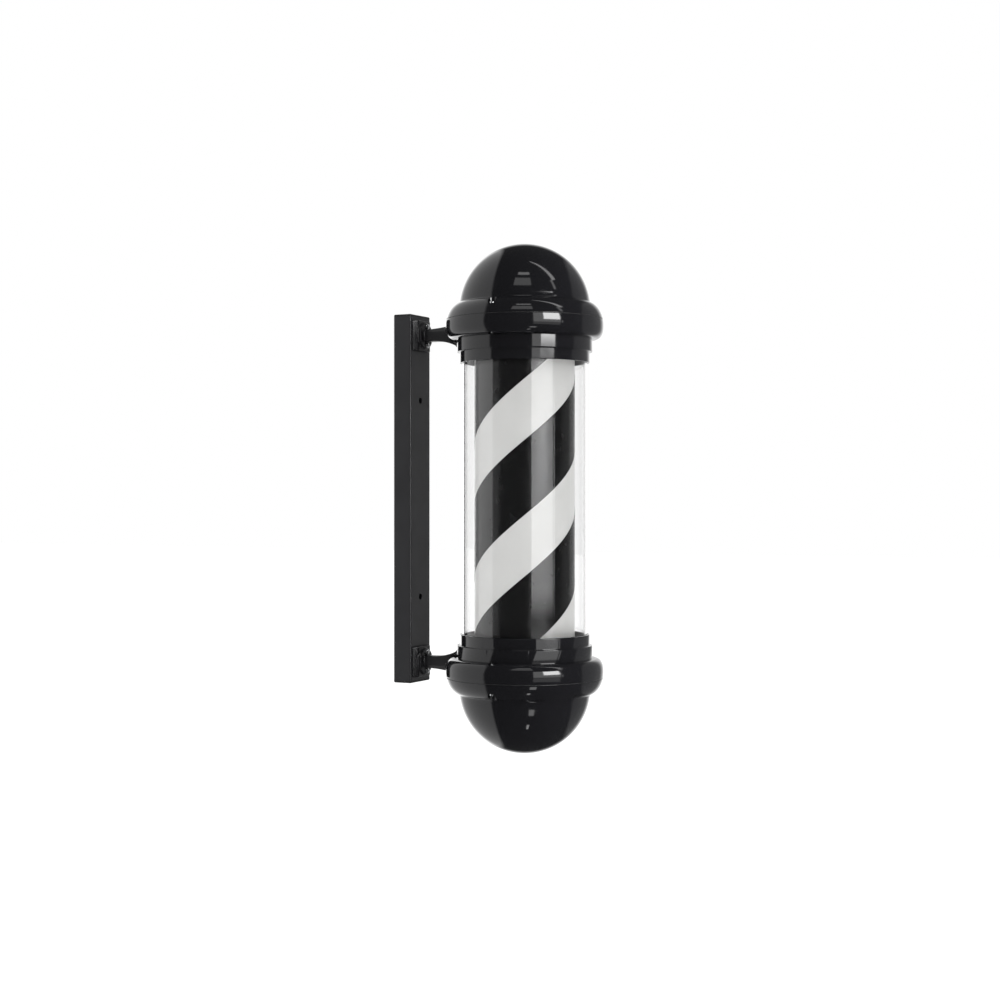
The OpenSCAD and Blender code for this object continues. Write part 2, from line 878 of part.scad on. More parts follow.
// One film stripe: a strip of the drum's skin that climbs to the right, seen from outside
module stripe(turn) {
    rows = 40;
    cols = 12;
    span = 180 * stripe_share;
    in_r = (drum_r + pin_gap) / cos(360 * drum_h / stripe_lead / rows / 2);
    per = 2 * (cols + 1);
    function at(i, j, r) =
        let (a = turn - span / 2 + span * j / cols + 360 * (i / rows - 0.5) * drum_h / stripe_lead)
            [r * cos(a), r * sin(a), drum_h * (i / rows - 0.5)];
    pts = [for (i = [0:rows], k = [0, 1], j = [0:cols]) at(i, j, in_r + k * film_t)];
    function id(i, k, j) = i * per + k * (cols + 1) + j;
    sides = [for (i = [0:rows - 1], j = [0:cols - 1]) each [
        [id(i, 1, j), id(i + 1, 1, j), id(i, 1, j + 1)],
        [id(i, 1, j + 1), id(i + 1, 1, j), id(i + 1, 1, j + 1)],
        [id(i, 0, j), id(i, 0, j + 1), id(i + 1, 0, j)],
        [id(i, 0, j + 1), id(i + 1, 0, j + 1), id(i + 1, 0, j)]]];
    edges = [for (i = [0:rows - 1]) each [
        [id(i, 0, 0), id(i + 1, 0, 0), id(i, 1, 0)],
        [id(i, 1, 0), id(i + 1, 0, 0), id(i + 1, 1, 0)],
        [id(i, 0, cols), id(i, 1, cols), id(i + 1, 0, cols)],
        [id(i, 1, cols), id(i + 1, 1, cols), id(i + 1, 0, cols)]]];
    ends = [for (j = [0:cols - 1]) each [
        [id(0, 0, j), id(0, 1, j), id(0, 0, j + 1)],
        [id(0, 1, j), id(0, 1, j + 1), id(0, 0, j + 1)],
        [id(rows, 0, j), id(rows, 0, j + 1), id(rows, 1, j)],
        [id(rows, 1, j), id(rows, 0, j + 1), id(rows, 1, j + 1)]]];
    polyhedron(points = pts, faces = concat(sides, edges, ends), convexity = 10);
}

module black_stripes() {
    color(black)
        on_axis(0)
            for (k = [0, 1])
                stripe(stripe_turn + 90 + 180 * k);
}

module drum_rim(h) {
    ring(drum_in_r - rim_gap, drum_in_r - rim_gap - rim_t, h);
}

module rim_holes(z) {
    for (a = rim_turns)
        translate([0, 0, z])
            rotate([0, 0, a]) rotate([0, 90, 0]) cylinder(r = m3_r + pin_gap, h = drum_r + 1, $fn = 20);
}

module turntable() {
    color(steel)
        on_axis(-drum_top)
            difference() {
                union() {
                    translate([0, 0, -disc_t]) cylinder(r = drum_r, h = disc_t, $fn = 128);
                    translate([0, 0, -eps]) drum_rim(rim_h + eps);
                }
                translate([0, 0, -disc_t - 1]) cylinder(r = shaft_r + slip, h = disc_t + 2, $fn = 32);
                rim_holes(rim_h / 2);
                for (a = hub_turns)
                    rotate([0, 0, a])
                        translate([hub_screw_r, 0, -disc_t - 1])
                            cylinder(r = m3_r + pin_gap, h = disc_t + 2, $fn = 20);
            }
}

module drive_hub() {
    color(steel)
        on_axis(-drum_top - disc_t)
            difference() {
                union() {
                    translate([0, 0, -hub_flange_t]) cylinder(r = hub_flange_r, h = hub_flange_t);
                    translate([0, 0, -hub_len]) cylinder(r = hub_r, h = hub_len);
                }
                translate([0, 0, -hub_len - 1]) cylinder(r = shaft_r + pin_gap, h = hub_len + 2, $fn = 32);
                translate([0, 0, -hub_len + grub_up])
                    rotate([0, 90, 0]) cylinder(r = m4_r + pin_gap, h = hub_r + 1, $fn = 24);
                for (a = hub_turns)
                    rotate([0, 0, a])
                        translate([hub_screw_r, 0, -hub_flange_t - 1])
                            cylinder(r = m3_r + pin_gap, h = hub_flange_t + 2, $fn = 20);
            }
}

// Three screws through the turntable into the hub's flange, and the grub screw on the shaft
module hub_screws() {
    color(steel)
        on_axis(-drum_top) {
            for (a = hub_turns)
                rotate([0, 0, a])
                    translate([hub_screw_r, 0, 0])
                        pan_screw(m3_r, disc_t + hub_flange_t, m3_head_r, m3_head_h);
            translate([shaft_r + pin_gap, 0, -disc_t - hub_len + grub_up])
                rotate([0, 90, 0])
                    difference() {
                        cylinder(r = m4_r, h = hub_r - shaft_r - socket_deep, $fn = 24);
                        translate([0, 0, hub_r - shaft_r - 3 * socket_deep])
                            cylinder(r = 1, h = 3, $fn = 6);
                    }
        }
}

module top_spider() {
    hub_h = race_w + hub_shoulder + disc_t;
    hub_out = race_out + spider_wall;
    color(steel)
        on_axis(drum_top)
            difference() {
                union() {
                    ring(drum_r, drum_in_r - rim_gap - rim_t, disc_t);
                    translate([0, 0, -rim_h]) drum_rim(rim_h + eps);
                    translate([0, 0, disc_t - hub_h]) cylinder(r = hub_out, h = hub_h);
                    for (a = plate_turns)
                        rotate([0, 0, a])
                            translate([race_out + 2, -spoke_w / 2, -spoke_h - spoke_down])
                                cube([drum_in_r - rim_t - race_out, spoke_w, spoke_h]);
                }
                translate([0, 0, -race_w]) cylinder(r = race_out + pin_gap, h = race_w + disc_t + 1);
                translate([0, 0, -race_w - hub_shoulder - 1])
                    cylinder(r = race_out - clip_over, h = race_w);
                translate([0, 0, clip_play]) cylinder(r = race_out + clip_bite, h = clip_t + clip_play);
                rim_holes(-rim_h / 2);
            }
}

module drum_screws() {
    color(steel)
        on_axis(0)
            for (side = [-1, 1], a = rim_turns)
                translate([0, 0, side * (drum_top - rim_h / 2)])
                    rotate([0, 0, a])
                        translate([drum_r - drum_screw_len - drum_screw_in, 0, 0])
                            rotate([0, 90, 0])
                                difference() {
                                    cylinder(r = m3_r, h = drum_screw_len, $fn = 20);
                                    translate([0, 0, drum_screw_len - socket_deep])
                                        cylinder(r = m3_r / 2, h = 2, $fn = 6);
                                }
}

// Bearing

module race(r_a, r_b) {
    rotate_extrude($fn = 96)
        difference() {
            translate([r_a, -race_w / 2]) square([r_b - r_a, race_w]);
            translate([ball_ring, 0]) circle(r = ball_r + run_gap, $fn = 48);
        }
}

module bearing_outer() {
    color(steel) on_axis(bearing_z) race(ball_ring + land, race_out);
}

module bearing_inner() {
    color(steel) on_axis(bearing_z) race(race_in + pin_gap, ball_ring - land);
}

module bearing_balls() {
    color(chrome)
        on_axis(bearing_z)
            for (i = [0:ball_n - 1])
                rotate([0, 0, 360 * i / ball_n]) translate([ball_ring, 0, 0]) sphere(r = ball_r, $fn = 32);
}

module bearing_cage() {
    color(brass)
        on_axis(bearing_z)
            difference() {
                translate([0, 0, -cage_w / 2]) ring(ball_ring + cage_half, ball_ring - cage_half, cage_w);
                for (i = [0:ball_n - 1])
                    rotate([0, 0, 360 * i / ball_n])
                        rotate([0, 90, 0]) cylinder(r = ball_r + 2 * run_gap, h = race_out, $fn = 32);
            }
}

// A circlip: a flat ring with a gap
module circlip(r_out, r_in) {
    difference() {
        ring(r_out, r_in, clip_t);
        translate([0, -clip_cut / 2, -1]) cube([r_out + 1, clip_cut, clip_t + 2]);
    }
}

module hub_circlip() {
    color(dark)
        on_axis(drum_top + 1.5 * clip_play) circlip(race_out + clip_bite - clip_play, race_out - clip_over);
}

module post_circlip() {
    color(dark)
        on_axis(drum_top - race_w - clip_play - clip_t)
            circlip(race_in + clip_over, race_in - clip_bite + clip_play);
}

// Plates on the ledges of the housings

module plate_disc(hole_r) {
    difference() {
        cylinder(r = plate_r, h = plate_t, $fn = 128);
        translate([0, 0, -1]) cylinder(r = hole_r, h = plate_t + 2);
        for (a = plate_turns)
            rotate([0, 0, a])
                translate([plate_screw_r, 0, -1]) cylinder(r = m4_r + slip, h = plate_t + 2, $fn = 24);
    }
}

module motor_plate() {
    color(steel)
        difference() {
            on_axis(motor_face) plate_disc(shaft_r + bush_wall + slip);
            for (s = [-1, 1])
                on_axis(motor_face - 1)
                    translate([can_c[0], s * ear_off, 0])
                        cylinder(r = m3_r + pin_gap, h = plate_t + 2, $fn = 20);
        }
}

module plate_screws() {
    color(steel)
        for (side = [-1, 1], a = plate_turns)
            cap_place(side)
                rotate([0, 0, a])
                    translate([plate_screw_r, 0, floor_z + plate_t])
                        pan_screw(m4_r, plate_t + plate_screw_end, m4_head_r, m4_head_h);
}

// Geared motor

function inv(a) = tan(a) * 180 / PI - a;
function base_r(n) = gear_m * n / 2 * cos(press);
function tooth_half(n, r) =
    90 / n - tooth_play / (gear_m * n) * 90 / PI + inv(press) - inv(acos(min(1, base_r(n) / r)));
function gear_pts(n) =
    let (pitch = gear_m * n / 2,
         tip = pitch + tip_k * gear_m,
         root = pitch - root_k * gear_m,
         low = max(root, base_r(n)) + 0.002,
         steps = 3)
    [for (i = [0:n - 1]) let (a = 360 * i / n) each concat(
        [[root * cos(a - tooth_half(n, low)), root * sin(a - tooth_half(n, low))]],
        [for (k = [0:steps]) let (r = low + (tip - low) * k / steps, t = a - tooth_half(n, r))
            [r * cos(t), r * sin(t)]],
        [for (k = [steps:-1:0]) let (r = low + (tip - low) * k / steps, t = a + tooth_half(n, r))
            [r * cos(t), r * sin(t)]],
        [[root * cos(a + tooth_half(n, low)), root * sin(a + tooth_half(n, low))]])];
function dir(a, b) = atan2(b[1] - a[1], b[0] - a[0]);
// Turn of a gear with n2 teeth that meshes with one of n1 teeth, turned by t1, in direction b
function mesh_turn(b, t1, n1, n2) = b + 180 + 180 / n2 - (t1 - b) * n1 / n2;

module gear(n, h, turn) {
    rotate([0, 0, turn]) linear_extrude(h) polygon(gear_pts(n));
}

module motor_at(c, deep) {
    on_axis(motor_face - deep) translate([c[0], c[1], 0]) children();
}

module motor_can() {
    color(steel)
        motor_at(can_c, can_deep)
            difference() {
                cylinder(r = can_r, h = can_deep - cover_t, $fn = 96);
                translate([0, 0, can_wall]) cylinder(r = can_in_r, h = can_deep, $fn = 96);
                translate([0, 0, -1]) cylinder(r = axle_r + pin_gap, h = can_wall + 2, $fn = 24);
            }
}

// Cover plate of the motor with two ears
module motor_cover() {
    color(steel)
        motor_at([0, 0], cover_t)
            difference() {
                union() {
                    translate([can_c[0], can_c[1], 0]) cylinder(r = can_r, h = cover_t, $fn = 96);
                    for (s = [-1, 1])
                        translate([can_c[0], s * ear_off, 0]) {
                            cylinder(r = ear_r, h = cover_t, $fn = 32);
                            translate([-ear_r, s > 0 ? -ear_len : 0, 0])
                                cube([2 * ear_r, ear_len, cover_t]);
                        }
                }
                translate([0, 0, -1])
                    cylinder(r = shaft_r + bush_wall + pin_gap, h = cover_t + 2, $fn = 32);
                for (s = [-1, 1])
                    translate([can_c[0], s * ear_off, -1])
                        cylinder(r = m3_r + slip, h = cover_t + 2, $fn = 20);
                for (c = [one_c, two_c])
                    translate([c[0], c[1], -1]) cylinder(r = axle_r + pin_gap, h = cover_t + 2, $fn = 24);
            }
}

module motor_midplate() {
    color(steel)
        motor_at([0, 0], mid_top + mid_t)
            difference() {
                translate([can_c[0], can_c[1], 0]) cylinder(r = can_in_r - pin_gap, h = mid_t, $fn = 96);
                translate([can_c[0], can_c[1], -1]) cylinder(r = neck_hole_r, h = mid_t + 2, $fn = 32);
                for (c = [one_c, two_c])
                    translate([c[0], c[1], -1]) cylinder(r = axle_r + pin_gap, h = mid_t + 2, $fn = 24);
            }
}

module stator_coil() {
    color([0.72, 0.42, 0.2])
        motor_at(can_c, rotor_top + rotor_h + level_gap)
            ring(can_in_r - slip, rotor_r + coil_gap, rotor_h + 2 * level_gap);
}

// Magnet rotor with its pinion, turning on a fixed pin
module rotor() {
    turn = mesh_turn(dir(one_c, can_c), 0, wheel_one, pinion_n);
    pinion_z = rotor_top + rotor_h - one_top - one_face - mesh_gap;
    color(dark)
        motor_at(can_c, rotor_top + rotor_h)
            difference() {
                union() {
                    cylinder(r = rotor_r, h = rotor_h);
                    cylinder(r = rotor_neck_r, h = pinion_z, $fn = 32);
                    translate([0, 0, pinion_z - join]) gear(pinion_n, one_face + mesh_gap + join, turn);
                }
                translate([0, 0, -1]) cylinder(r = axle_r + run_gap, h = can_deep, $fn = 24);
            }
}

// Pins of the rotor and of the two double gears
module gear_axles() {
    color(chrome) {
        motor_at(can_c, can_deep) cylinder(r = axle_r, h = can_deep - one_top, $fn = 24);
        for (c = [one_c, two_c])
            motor_at(c, mid_top + mid_t) cylinder(r = axle_r, h = mid_top + mid_t, $fn = 24);
    }
}

module gear_one() {
    turn = mesh_turn(dir(two_c, one_c), 0, wheel_two, pinion_n);
    color(brass)
        motor_at(one_c, one_top + one_face)
            difference() {
                union() {
                    gear(wheel_one, one_face, 0);
                    translate([0, 0, one_face - join]) gear(pinion_n, one_top - two_top + join, turn);
                }
                translate([0, 0, -1]) cylinder(r = axle_r + run_gap, h = 20, $fn = 24);
            }
}

module gear_two() {
    turn = mesh_turn(dir([0, 0], two_c), 0, wheel_out, pinion_n);
    color(brass)
        motor_at(two_c, two_top + two_face)
            difference() {
                union() {
                    gear(wheel_two, two_face, 0);
                    translate([0, 0, two_face - join]) gear(pinion_n, two_top - out_top + join, turn);
                }
                translate([0, 0, -1]) cylinder(r = axle_r + run_gap, h = 20, $fn = 24);
            }
}

module output_shaft() {
    color(steel)
        motor_at([0, 0], out_top + out_face) {
            gear(wheel_out, out_face, 0);
            cylinder(r = shaft_r, h = out_top + out_face + shaft_up, $fn = 48);
        }
}

module output_bush() {
    color(brass)
        motor_at([0, 0], cover_t)
            ring(shaft_r + bush_wall, shaft_r + run_gap, cover_t + plate_t + bush_up);
}

module motor_screws() {
    color(steel)
        for (s = [-1, 1])
            motor_at([can_c[0], s * ear_off], cover_t)
                rotate([180, 0, 0]) pan_screw(m3_r, cover_t + plate_t, m3_head_r, m3_head_h);
}

// Lamp

module lamp_plate() {
    color(steel)
        difference() {
            on_axis(plate_z) plate_disc(plate_hole_r);
            on_axis(plate_z - 1) {
                for (a = rim_turns)
                    rotate([0, 0, a])
                        translate([post_screw_r, 0, 0])
                            cylinder(r = m3_r + slip, h = plate_t + 2, $fn = 20);
                for (s = [-1, 1])
                    translate([s * driver_screw_x, driver_y, 0])
                        cylinder(r = m3_r + pin_gap, h = plate_t + 2, $fn = 20);
            }
        }
}

module lamp_post() {
    color([0.75, 0.77, 0.8])
        on_axis(0)
            difference() {
                union() {
                    translate([0, 0, plate_z - flange_t]) cylinder(r = flange_r, h = flange_t);
                    translate([0, 0, drum_top])
                        cylinder(r = race_in + post_shoulder, h = plate_z - drum_top - 1);
                    translate([0, 0, neck_low]) cylinder(r = race_in, h = plate_z - neck_low - 1);
                    translate([-post_w / 2, -post_w / 2, neck_low - post_h])
                        cube([post_w, post_w, post_h + 1]);
                }
                translate([0, 0, neck_low - post_h - 1])
                    cylinder(r = post_bore_r, h = post_h + 2 * plate_z, $fn = 32);
                translate([0, 0, drum_top - race_w - 2 * clip_play - clip_t])
                    ring(race_in + 1, race_in - clip_bite, clip_t + 2 * clip_play);
                for (a = rim_turns)
                    rotate([0, 0, a])
                        translate([post_screw_r, 0, plate_z - flange_t - 1])
                            cylinder(r = m3_r + pin_gap, h = flange_t + 2, $fn = 20);
            }
}

// Three screws of the post's flange and two of the driver
module lamp_screws() {
    color(steel)
        on_axis(plate_z + plate_t) {
            for (a = rim_turns)
                rotate([0, 0, a])
                    translate([post_screw_r, 0, 0])
                        pan_screw(m3_r, plate_t + post_screw_end, m3_head_r, m3_head_h);
            for (s = [-1, 1])
                translate([s * driver_screw_x, driver_y, ear_t])
                    pan_screw(m3_r, plate_t + ear_t, m3_head_r, m3_head_h);
        }
}

module led_strips() {
    strip_h = post_h - 2 * strip_end;
    top = neck_low - strip_end;
    color([0.98, 0.96, 0.8])
        on_axis(top - strip_h)
            for (a = [0:90:270])
                rotate([0, 0, a])
                    translate([0, -post_w / 2 - strip_t, 0]) {
                        translate([-strip_w / 2, 0, 0]) cube([strip_w, strip_t, strip_h]);
                        for (i = [0:floor(strip_h / chip_gap) - 1])
                            translate([-chip_w / 2, -chip_t, (i + 0.5) * chip_gap])
                                cube([chip_w, chip_t + eps, chip_w]);
                    }
}

module led_driver() {
    color(white)
        on_axis(plate_z + plate_t)
            difference() {
                union() {
                    translate([-driver_w / 2, driver_y - driver_d / 2, 0])
                        cube([driver_w, driver_d, driver_h]);
                    translate([-driver_w / 2 - driver_ear, driver_y - ear_w / 2, 0])
                        cube([driver_w + 2 * driver_ear, ear_w, ear_t]);
                }
                for (s = [-1, 1])
                    translate([s * driver_screw_x, driver_y, -1])
                        cylinder(r = m3_r + slip, h = ear_t + 2, $fn = 20);
            }
}

module terminal_block() {
    color(white)
        on_axis(motor_face - block_h)
            difference() {
                translate([-block_w / 2, block_y - block_d / 2, 0]) cube([block_w, block_d, block_h]);
                for (i = [-1:1])
                    translate([i * port_gap, block_y, -1])
                        cylinder(r = port_r, h = port_deep + 1, $fn = 24);
            }
}

module splice_block() {
    color(dark)
        translate([splice_x - splice_w / 2, -bar_wall - slip - splice_d, -splice_z])
            cube([splice_w, splice_d, splice_h]);
}

module lead_in() {
    color(rubber)
        lead([[lead_x, -lead_y, -bar_h / 2 - grommet_wall + join], [lead_x, -lead_y, -splice_z]], lead_d);
}

module lead_bottom() {
    end_y = -pole_off + block_y + block_d / 2;
    color(rubber)
        lead([[0, -lead_y, -splice_z], [0, -lead_y, -arm_z], [0, end_y, -arm_z]], lead_d);
}

// From the splice up the bar, through the upper arm and round the lamp's screws to the driver
module lead_top() {
    end_y = -pole_off + driver_y + driver_d / 2;
    turn_y = 70;
    side_y = 40;
    side_x = 20;
    color(rubber)
        lead([[lead_x, -lead_y, splice_h - splice_z], [lead_x, -lead_y, arm_z - 2 * lead_x],
              [0, -lead_y, arm_z], [0, -pole_off + turn_y, arm_z], [side_x, -pole_off + side_y, arm_z],
              [side_x, end_y, arm_z]], lead_d);
}

// Short leads from the terminal block to the motor and from the driver into the lamp post
module inner_leads() {
    motor_z = motor_face - block_h / 2 - 2;
    feed_z = plate_z + plate_t + inner_lead_up;
    driver_face = -pole_off + driver_y + driver_d / 2;
    color(rubber) {
        lead([[can_c[0], -pole_off + block_y - block_d / 2, motor_z],
              [can_c[0], -pole_off + can_r, motor_z]], inner_lead_d);
        lead([[0, driver_face, feed_z], [0, -pole_off, feed_z], [0, -pole_off, drum_top - lead_down]],
             inner_lead_d);
    }
}

wall_bar();
bar_cap_top();
bar_cap_bottom();
lead_grommet();
arm_top();
arm_bottom();
foot_screws();
nut_plates();
saddle_screws();
housing_top();
housing_bottom();
cover_top();
cover_bottom();
seam_seal_top();
seam_seal_bottom();
cover_bolts();
cover_nuts();
tube_gasket_top();
tube_gasket_bottom();
lead_bush_top();
lead_bush_bottom();
clear_tube();
drum_shell();
black_stripes();
turntable();
drive_hub();
hub_screws();
top_spider();
drum_screws();
bearing_outer();
bearing_balls();
bearing_cage();
bearing_inner();
hub_circlip();
post_circlip();
motor_plate();
plate_screws();
motor_can();
motor_cover();
motor_midplate();
stator_coil();
rotor();
gear_axles();
gear_one();
gear_two();
output_shaft();
output_bush();
motor_screws();
lamp_plate();
lamp_post();
lamp_screws();
led_strips();
led_driver();
terminal_block();
splice_block();
lead_in();
lead_bottom();
lead_top();
inner_leads();
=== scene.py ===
"""Dresses the barber pole: a striped drum in a clear tube between two domed black caps, on a wall bar.

The wall is the plane y = 0, the pole stands in front of it towards -Y, and its axis is upright.
Every length is in metres. Heights of the caps' own parts are counted from the end of the collar.
"""

import json
import math

import bmesh
import bpy
from bpy.props import FloatProperty, IntProperty, PointerProperty, StringProperty
from mathutils import Matrix, Vector


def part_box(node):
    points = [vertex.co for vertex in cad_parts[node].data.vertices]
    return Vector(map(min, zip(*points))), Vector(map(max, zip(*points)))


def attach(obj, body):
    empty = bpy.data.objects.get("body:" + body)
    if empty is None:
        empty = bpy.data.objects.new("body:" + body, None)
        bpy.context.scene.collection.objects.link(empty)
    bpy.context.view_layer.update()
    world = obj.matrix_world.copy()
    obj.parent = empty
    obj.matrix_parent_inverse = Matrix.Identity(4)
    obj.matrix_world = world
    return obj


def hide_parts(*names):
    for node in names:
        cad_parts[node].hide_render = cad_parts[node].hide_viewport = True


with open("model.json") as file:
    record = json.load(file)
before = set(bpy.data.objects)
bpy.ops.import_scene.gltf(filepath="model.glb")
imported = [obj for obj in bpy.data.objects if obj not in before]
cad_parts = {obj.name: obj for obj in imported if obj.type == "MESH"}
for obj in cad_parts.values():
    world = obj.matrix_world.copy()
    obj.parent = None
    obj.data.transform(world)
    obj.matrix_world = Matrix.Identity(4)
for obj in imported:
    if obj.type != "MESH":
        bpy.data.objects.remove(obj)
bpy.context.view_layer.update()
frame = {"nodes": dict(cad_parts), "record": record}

bl_info = {
    "name": "Barber Pole",
    "version": (1, 0, 0),
    "blender": (4, 5, 0),
    "location": "View3D > Sidebar > Barber Pole",
    "description": "Builds the looks of a wall-mounted barber pole round its solids",
    "category": "Add Mesh",
}

MM = 0.001
# Points nearer than this are at the same place
CLOSE = 0.001 * MM

# What the frame says
BAR_LOW, BAR_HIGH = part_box("wall_bar")
TUBE_LOW, TUBE_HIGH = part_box("clear_tube")
DRUM_LOW, DRUM_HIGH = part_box("drum_shell")
HOUSING_LOW, HOUSING_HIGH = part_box("housing_top")
BUSH_LOW, BUSH_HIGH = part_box("lead_bush_top")
COVER_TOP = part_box("cover_top")[1].z
AXIS_Y = (TUBE_LOW.y + TUBE_HIGH.y) / 2
TUBE_R = (TUBE_HIGH.x - TUBE_LOW.x) / 2
DRUM_R = (DRUM_HIGH.x - DRUM_LOW.x) / 2
DRUM_H = DRUM_HIGH.z - DRUM_LOW.z
BAND_R = (HOUSING_HIGH.x - HOUSING_LOW.x) / 2
CAP_END = HOUSING_LOW.z
BAR_D = BAR_HIGH.y - BAR_LOW.y
ARM_Z = (BUSH_LOW.z + BUSH_HIGH.z) / 2

# The cap's outline, in its own frame: radius from the axis, height over the collar's end
COLLAR_R = 89.4 * MM
STEP_R = 93.2 * MM
STEP_Z = 15.2 * MM
UNDER_Z = 32.4 * MM
SOCKET_R = 86.3 * MM
SOCKET_Z = 26 * MM
LEDGE_R = 75 * MM
# The band's round: its half axes on the collar's side, with the power of that curve, and on the dome's side
LOW_A = 13.5 * MM
LOW_B = 19 * MM
LOW_POWER = 2.6
UP_A = 22 * MM
UP_B = 31.2 * MM
BAND_MID = UNDER_Z + 0.5 * MM + LOW_B
BAND_END = BAND_MID + UP_B
SEAM_Z = BAND_MID + 7.6 * MM
SEAL = 0.6 * MM
STEP_ROUND = 0.9 * MM
LIP_ROUND = 0.35 * MM
DOME_MID = BAND_MID + 21.5 * MM
DOME_R = COVER_TOP - CAP_END - DOME_MID
NECK_R = 2.6 * MM
NECK_C = DOME_R - 0.4 * MM + NECK_R

# Screws, bolts and the holes that they go through
HEAD_R = 4 * MM
HEAD_H = 3.1 * MM
SHANK_R = 2 * MM
THREAD_GAP = 0.05 * MM
NUT_H = 3.2 * MM
NUT_ACROSS = 7 * MM
BOLT_X = DOME_R + 7 * MM
BOLT_PAST_NUT = 3.8 * MM
NUT_FLOOR = UNDER_Z + 8.7 * MM
HEAD_FLOOR = BAND_MID + 21.2 * MM
POCKET_R = 6 * MM
COLUMN_R = 7.5 * MM
BOLT_HOLE_R = 2.3 * MM
WALL_HOLE_Z = 139 * MM
WALL_HOLE_R = 2.75 * MM
DRIVER_HOLE_R = 4.4 * MM
LEAD_HOLE_R = 4.5 * MM
FOOT_SCREW_UP = 13.5 * MM

# The arms
FOOT_W = 48 * MM
FOOT_H = 43 * MM
FOOT_T = 6.5 * MM
FACE_W = 33 * MM
BOSS_R = 18.5 * MM
BOSS_T = 3.5 * MM
STEM_W = 16 * MM
STEM_H = 17 * MM
SADDLE_GAP = 0.3 * MM
SADDLE_T = 2 * MM
SADDLE_HALF = math.radians(15)
TONGUE_HALF = math.radians(5)
PAD_TURN = math.radians(12)
PAD_R = 4.5 * MM
FACE_Y = -BAR_D - FOOT_T - BOSS_T
SADDLE_Y = AXIS_Y + BAND_R + SADDLE_T
STEM_LOW = ARM_Z - STEM_H / 2
STEM_TOP = ARM_Z + STEM_H / 2

MIRROR_Z = Matrix.Scale(-1, 4, (0, 0, 1))
QUARTER_TURN_X = Matrix.Rotation(math.radians(90), 4, "X")


# Sizes and colours that can be changed

class PoleSizes(bpy.types.PropertyGroup):
    """Sizes that the frame doesn't give"""
    tube_wall: FloatProperty(name="Tube wall", description="Wall of the clear tube", default=3 * MM,
                             unit="LENGTH")
    drum_wall: FloatProperty(name="Drum wall", description="Wall of the drum", default=1.5 * MM,
                             unit="LENGTH")
    bar_wall: FloatProperty(name="Bar wall", description="Wall of the bar", default=2 * MM, unit="LENGTH")
    cap_wall: FloatProperty(name="Cap wall", description="Wall of the caps", default=2.5 * MM, unit="LENGTH")
    corner: FloatProperty(name="Bar corner", description="Round of the bar's long edges", default=2.2 * MM,
                          unit="LENGTH")
    film: FloatProperty(name="Film", description="Thickness of the wrapped film", default=0.3 * MM,
                        unit="LENGTH")
    stripe_lead: FloatProperty(name="Stripe lead", description="Height of one full turn of a stripe",
                               default=366 * MM, unit="LENGTH")
    stripe_share: FloatProperty(name="Black share", description="Share of the drum that is black",
                                default=0.55, min=0.1, max=0.9)
    stripe_turn: FloatProperty(name="Stripe turn", description="Direction of a white stripe at half height",
                               default=math.radians(88), subtype="ANGLE")
    steps: IntProperty(name="Steps", description="Steps of a full turn", default=160, min=24, max=512)


class PoleColours(bpy.types.PropertyGroup):
    """Colours as sRGB hex values"""
    cap: StringProperty(name="Caps", description="Black of the moulded caps", default="0F0F11")
    bar: StringProperty(name="Bar", description="Black of the powder coat", default="1E1E20")
    arm: StringProperty(name="Arms", description="Black of the painted castings", default="131315")
    drum: StringProperty(name="Drum", description="White of the drum", default="EDEDEB")
    stripe: StringProperty(name="Stripes", description="Black of the film", default="101011")
    rubber: StringProperty(name="Rubber", description="Black of the seals", default="161616")


def sizes():
    return bpy.context.scene.pole_sizes


def colours():
    return bpy.context.scene.pole_colours


# Selecting and editing

def only(obj):
    """Deselects everything and makes one object active."""
    bpy.ops.object.select_all(action="DESELECT")
    obj.select_set(True)
    bpy.context.view_layer.objects.active = obj


def enter(obj):
    only(obj)
    bpy.ops.object.mode_set(mode="EDIT")


def leave():
    bpy.ops.object.mode_set(mode="OBJECT")


def pick(obj, kind, test):
    """In edit mode, selects the faces, edges or vertices that pass a test."""
    bpy.ops.mesh.select_mode(type=kind)
    bpy.ops.mesh.select_all(action="DESELECT")
    mesh = bmesh.from_edit_mesh(obj.data)
    items = {"FACE": mesh.faces, "EDGE": mesh.edges, "VERT": mesh.verts}[kind]
    for item in items:
        if test(item):
            item.select_set(True)
    mesh.select_flush_mode()
    bmesh.update_edit_mesh(obj.data)


def rise(edge):
    """How far an edge climbs."""
    return abs(edge.verts[0].co.z - edge.verts[1].co.z)


def named(name):
    """Names the object that was just added."""
    obj = bpy.context.active_object
    obj.name = name
    obj.data.name = name
    return obj


def block(name, low, high):
    """A block between two corners, as a start for shaping."""
    low, high = Vector(low), Vector(high)
    bpy.ops.object.select_all(action="DESELECT")
    bpy.ops.mesh.primitive_cube_add(size=1, location=(low + high) / 2)
    obj = named(name)
    obj.scale = high - low
    bpy.ops.object.transform_apply(location=True, rotation=True, scale=True)
    return obj


def rod(name, start, end, radius, sides=48):
    """A round rod between two points, as a start for shaping or as a cutter."""
    start, end = Vector(start), Vector(end)
    way = end - start
    bpy.ops.object.select_all(action="DESELECT")
    bpy.ops.mesh.primitive_cylinder_add(vertices=sides, radius=radius, depth=way.length,
                                        location=(start + end) / 2,
                                        rotation=way.to_track_quat("Z", "Y").to_euler())
    obj = named(name)
    bpy.ops.object.transform_apply(location=True, rotation=True, scale=True)
    return obj


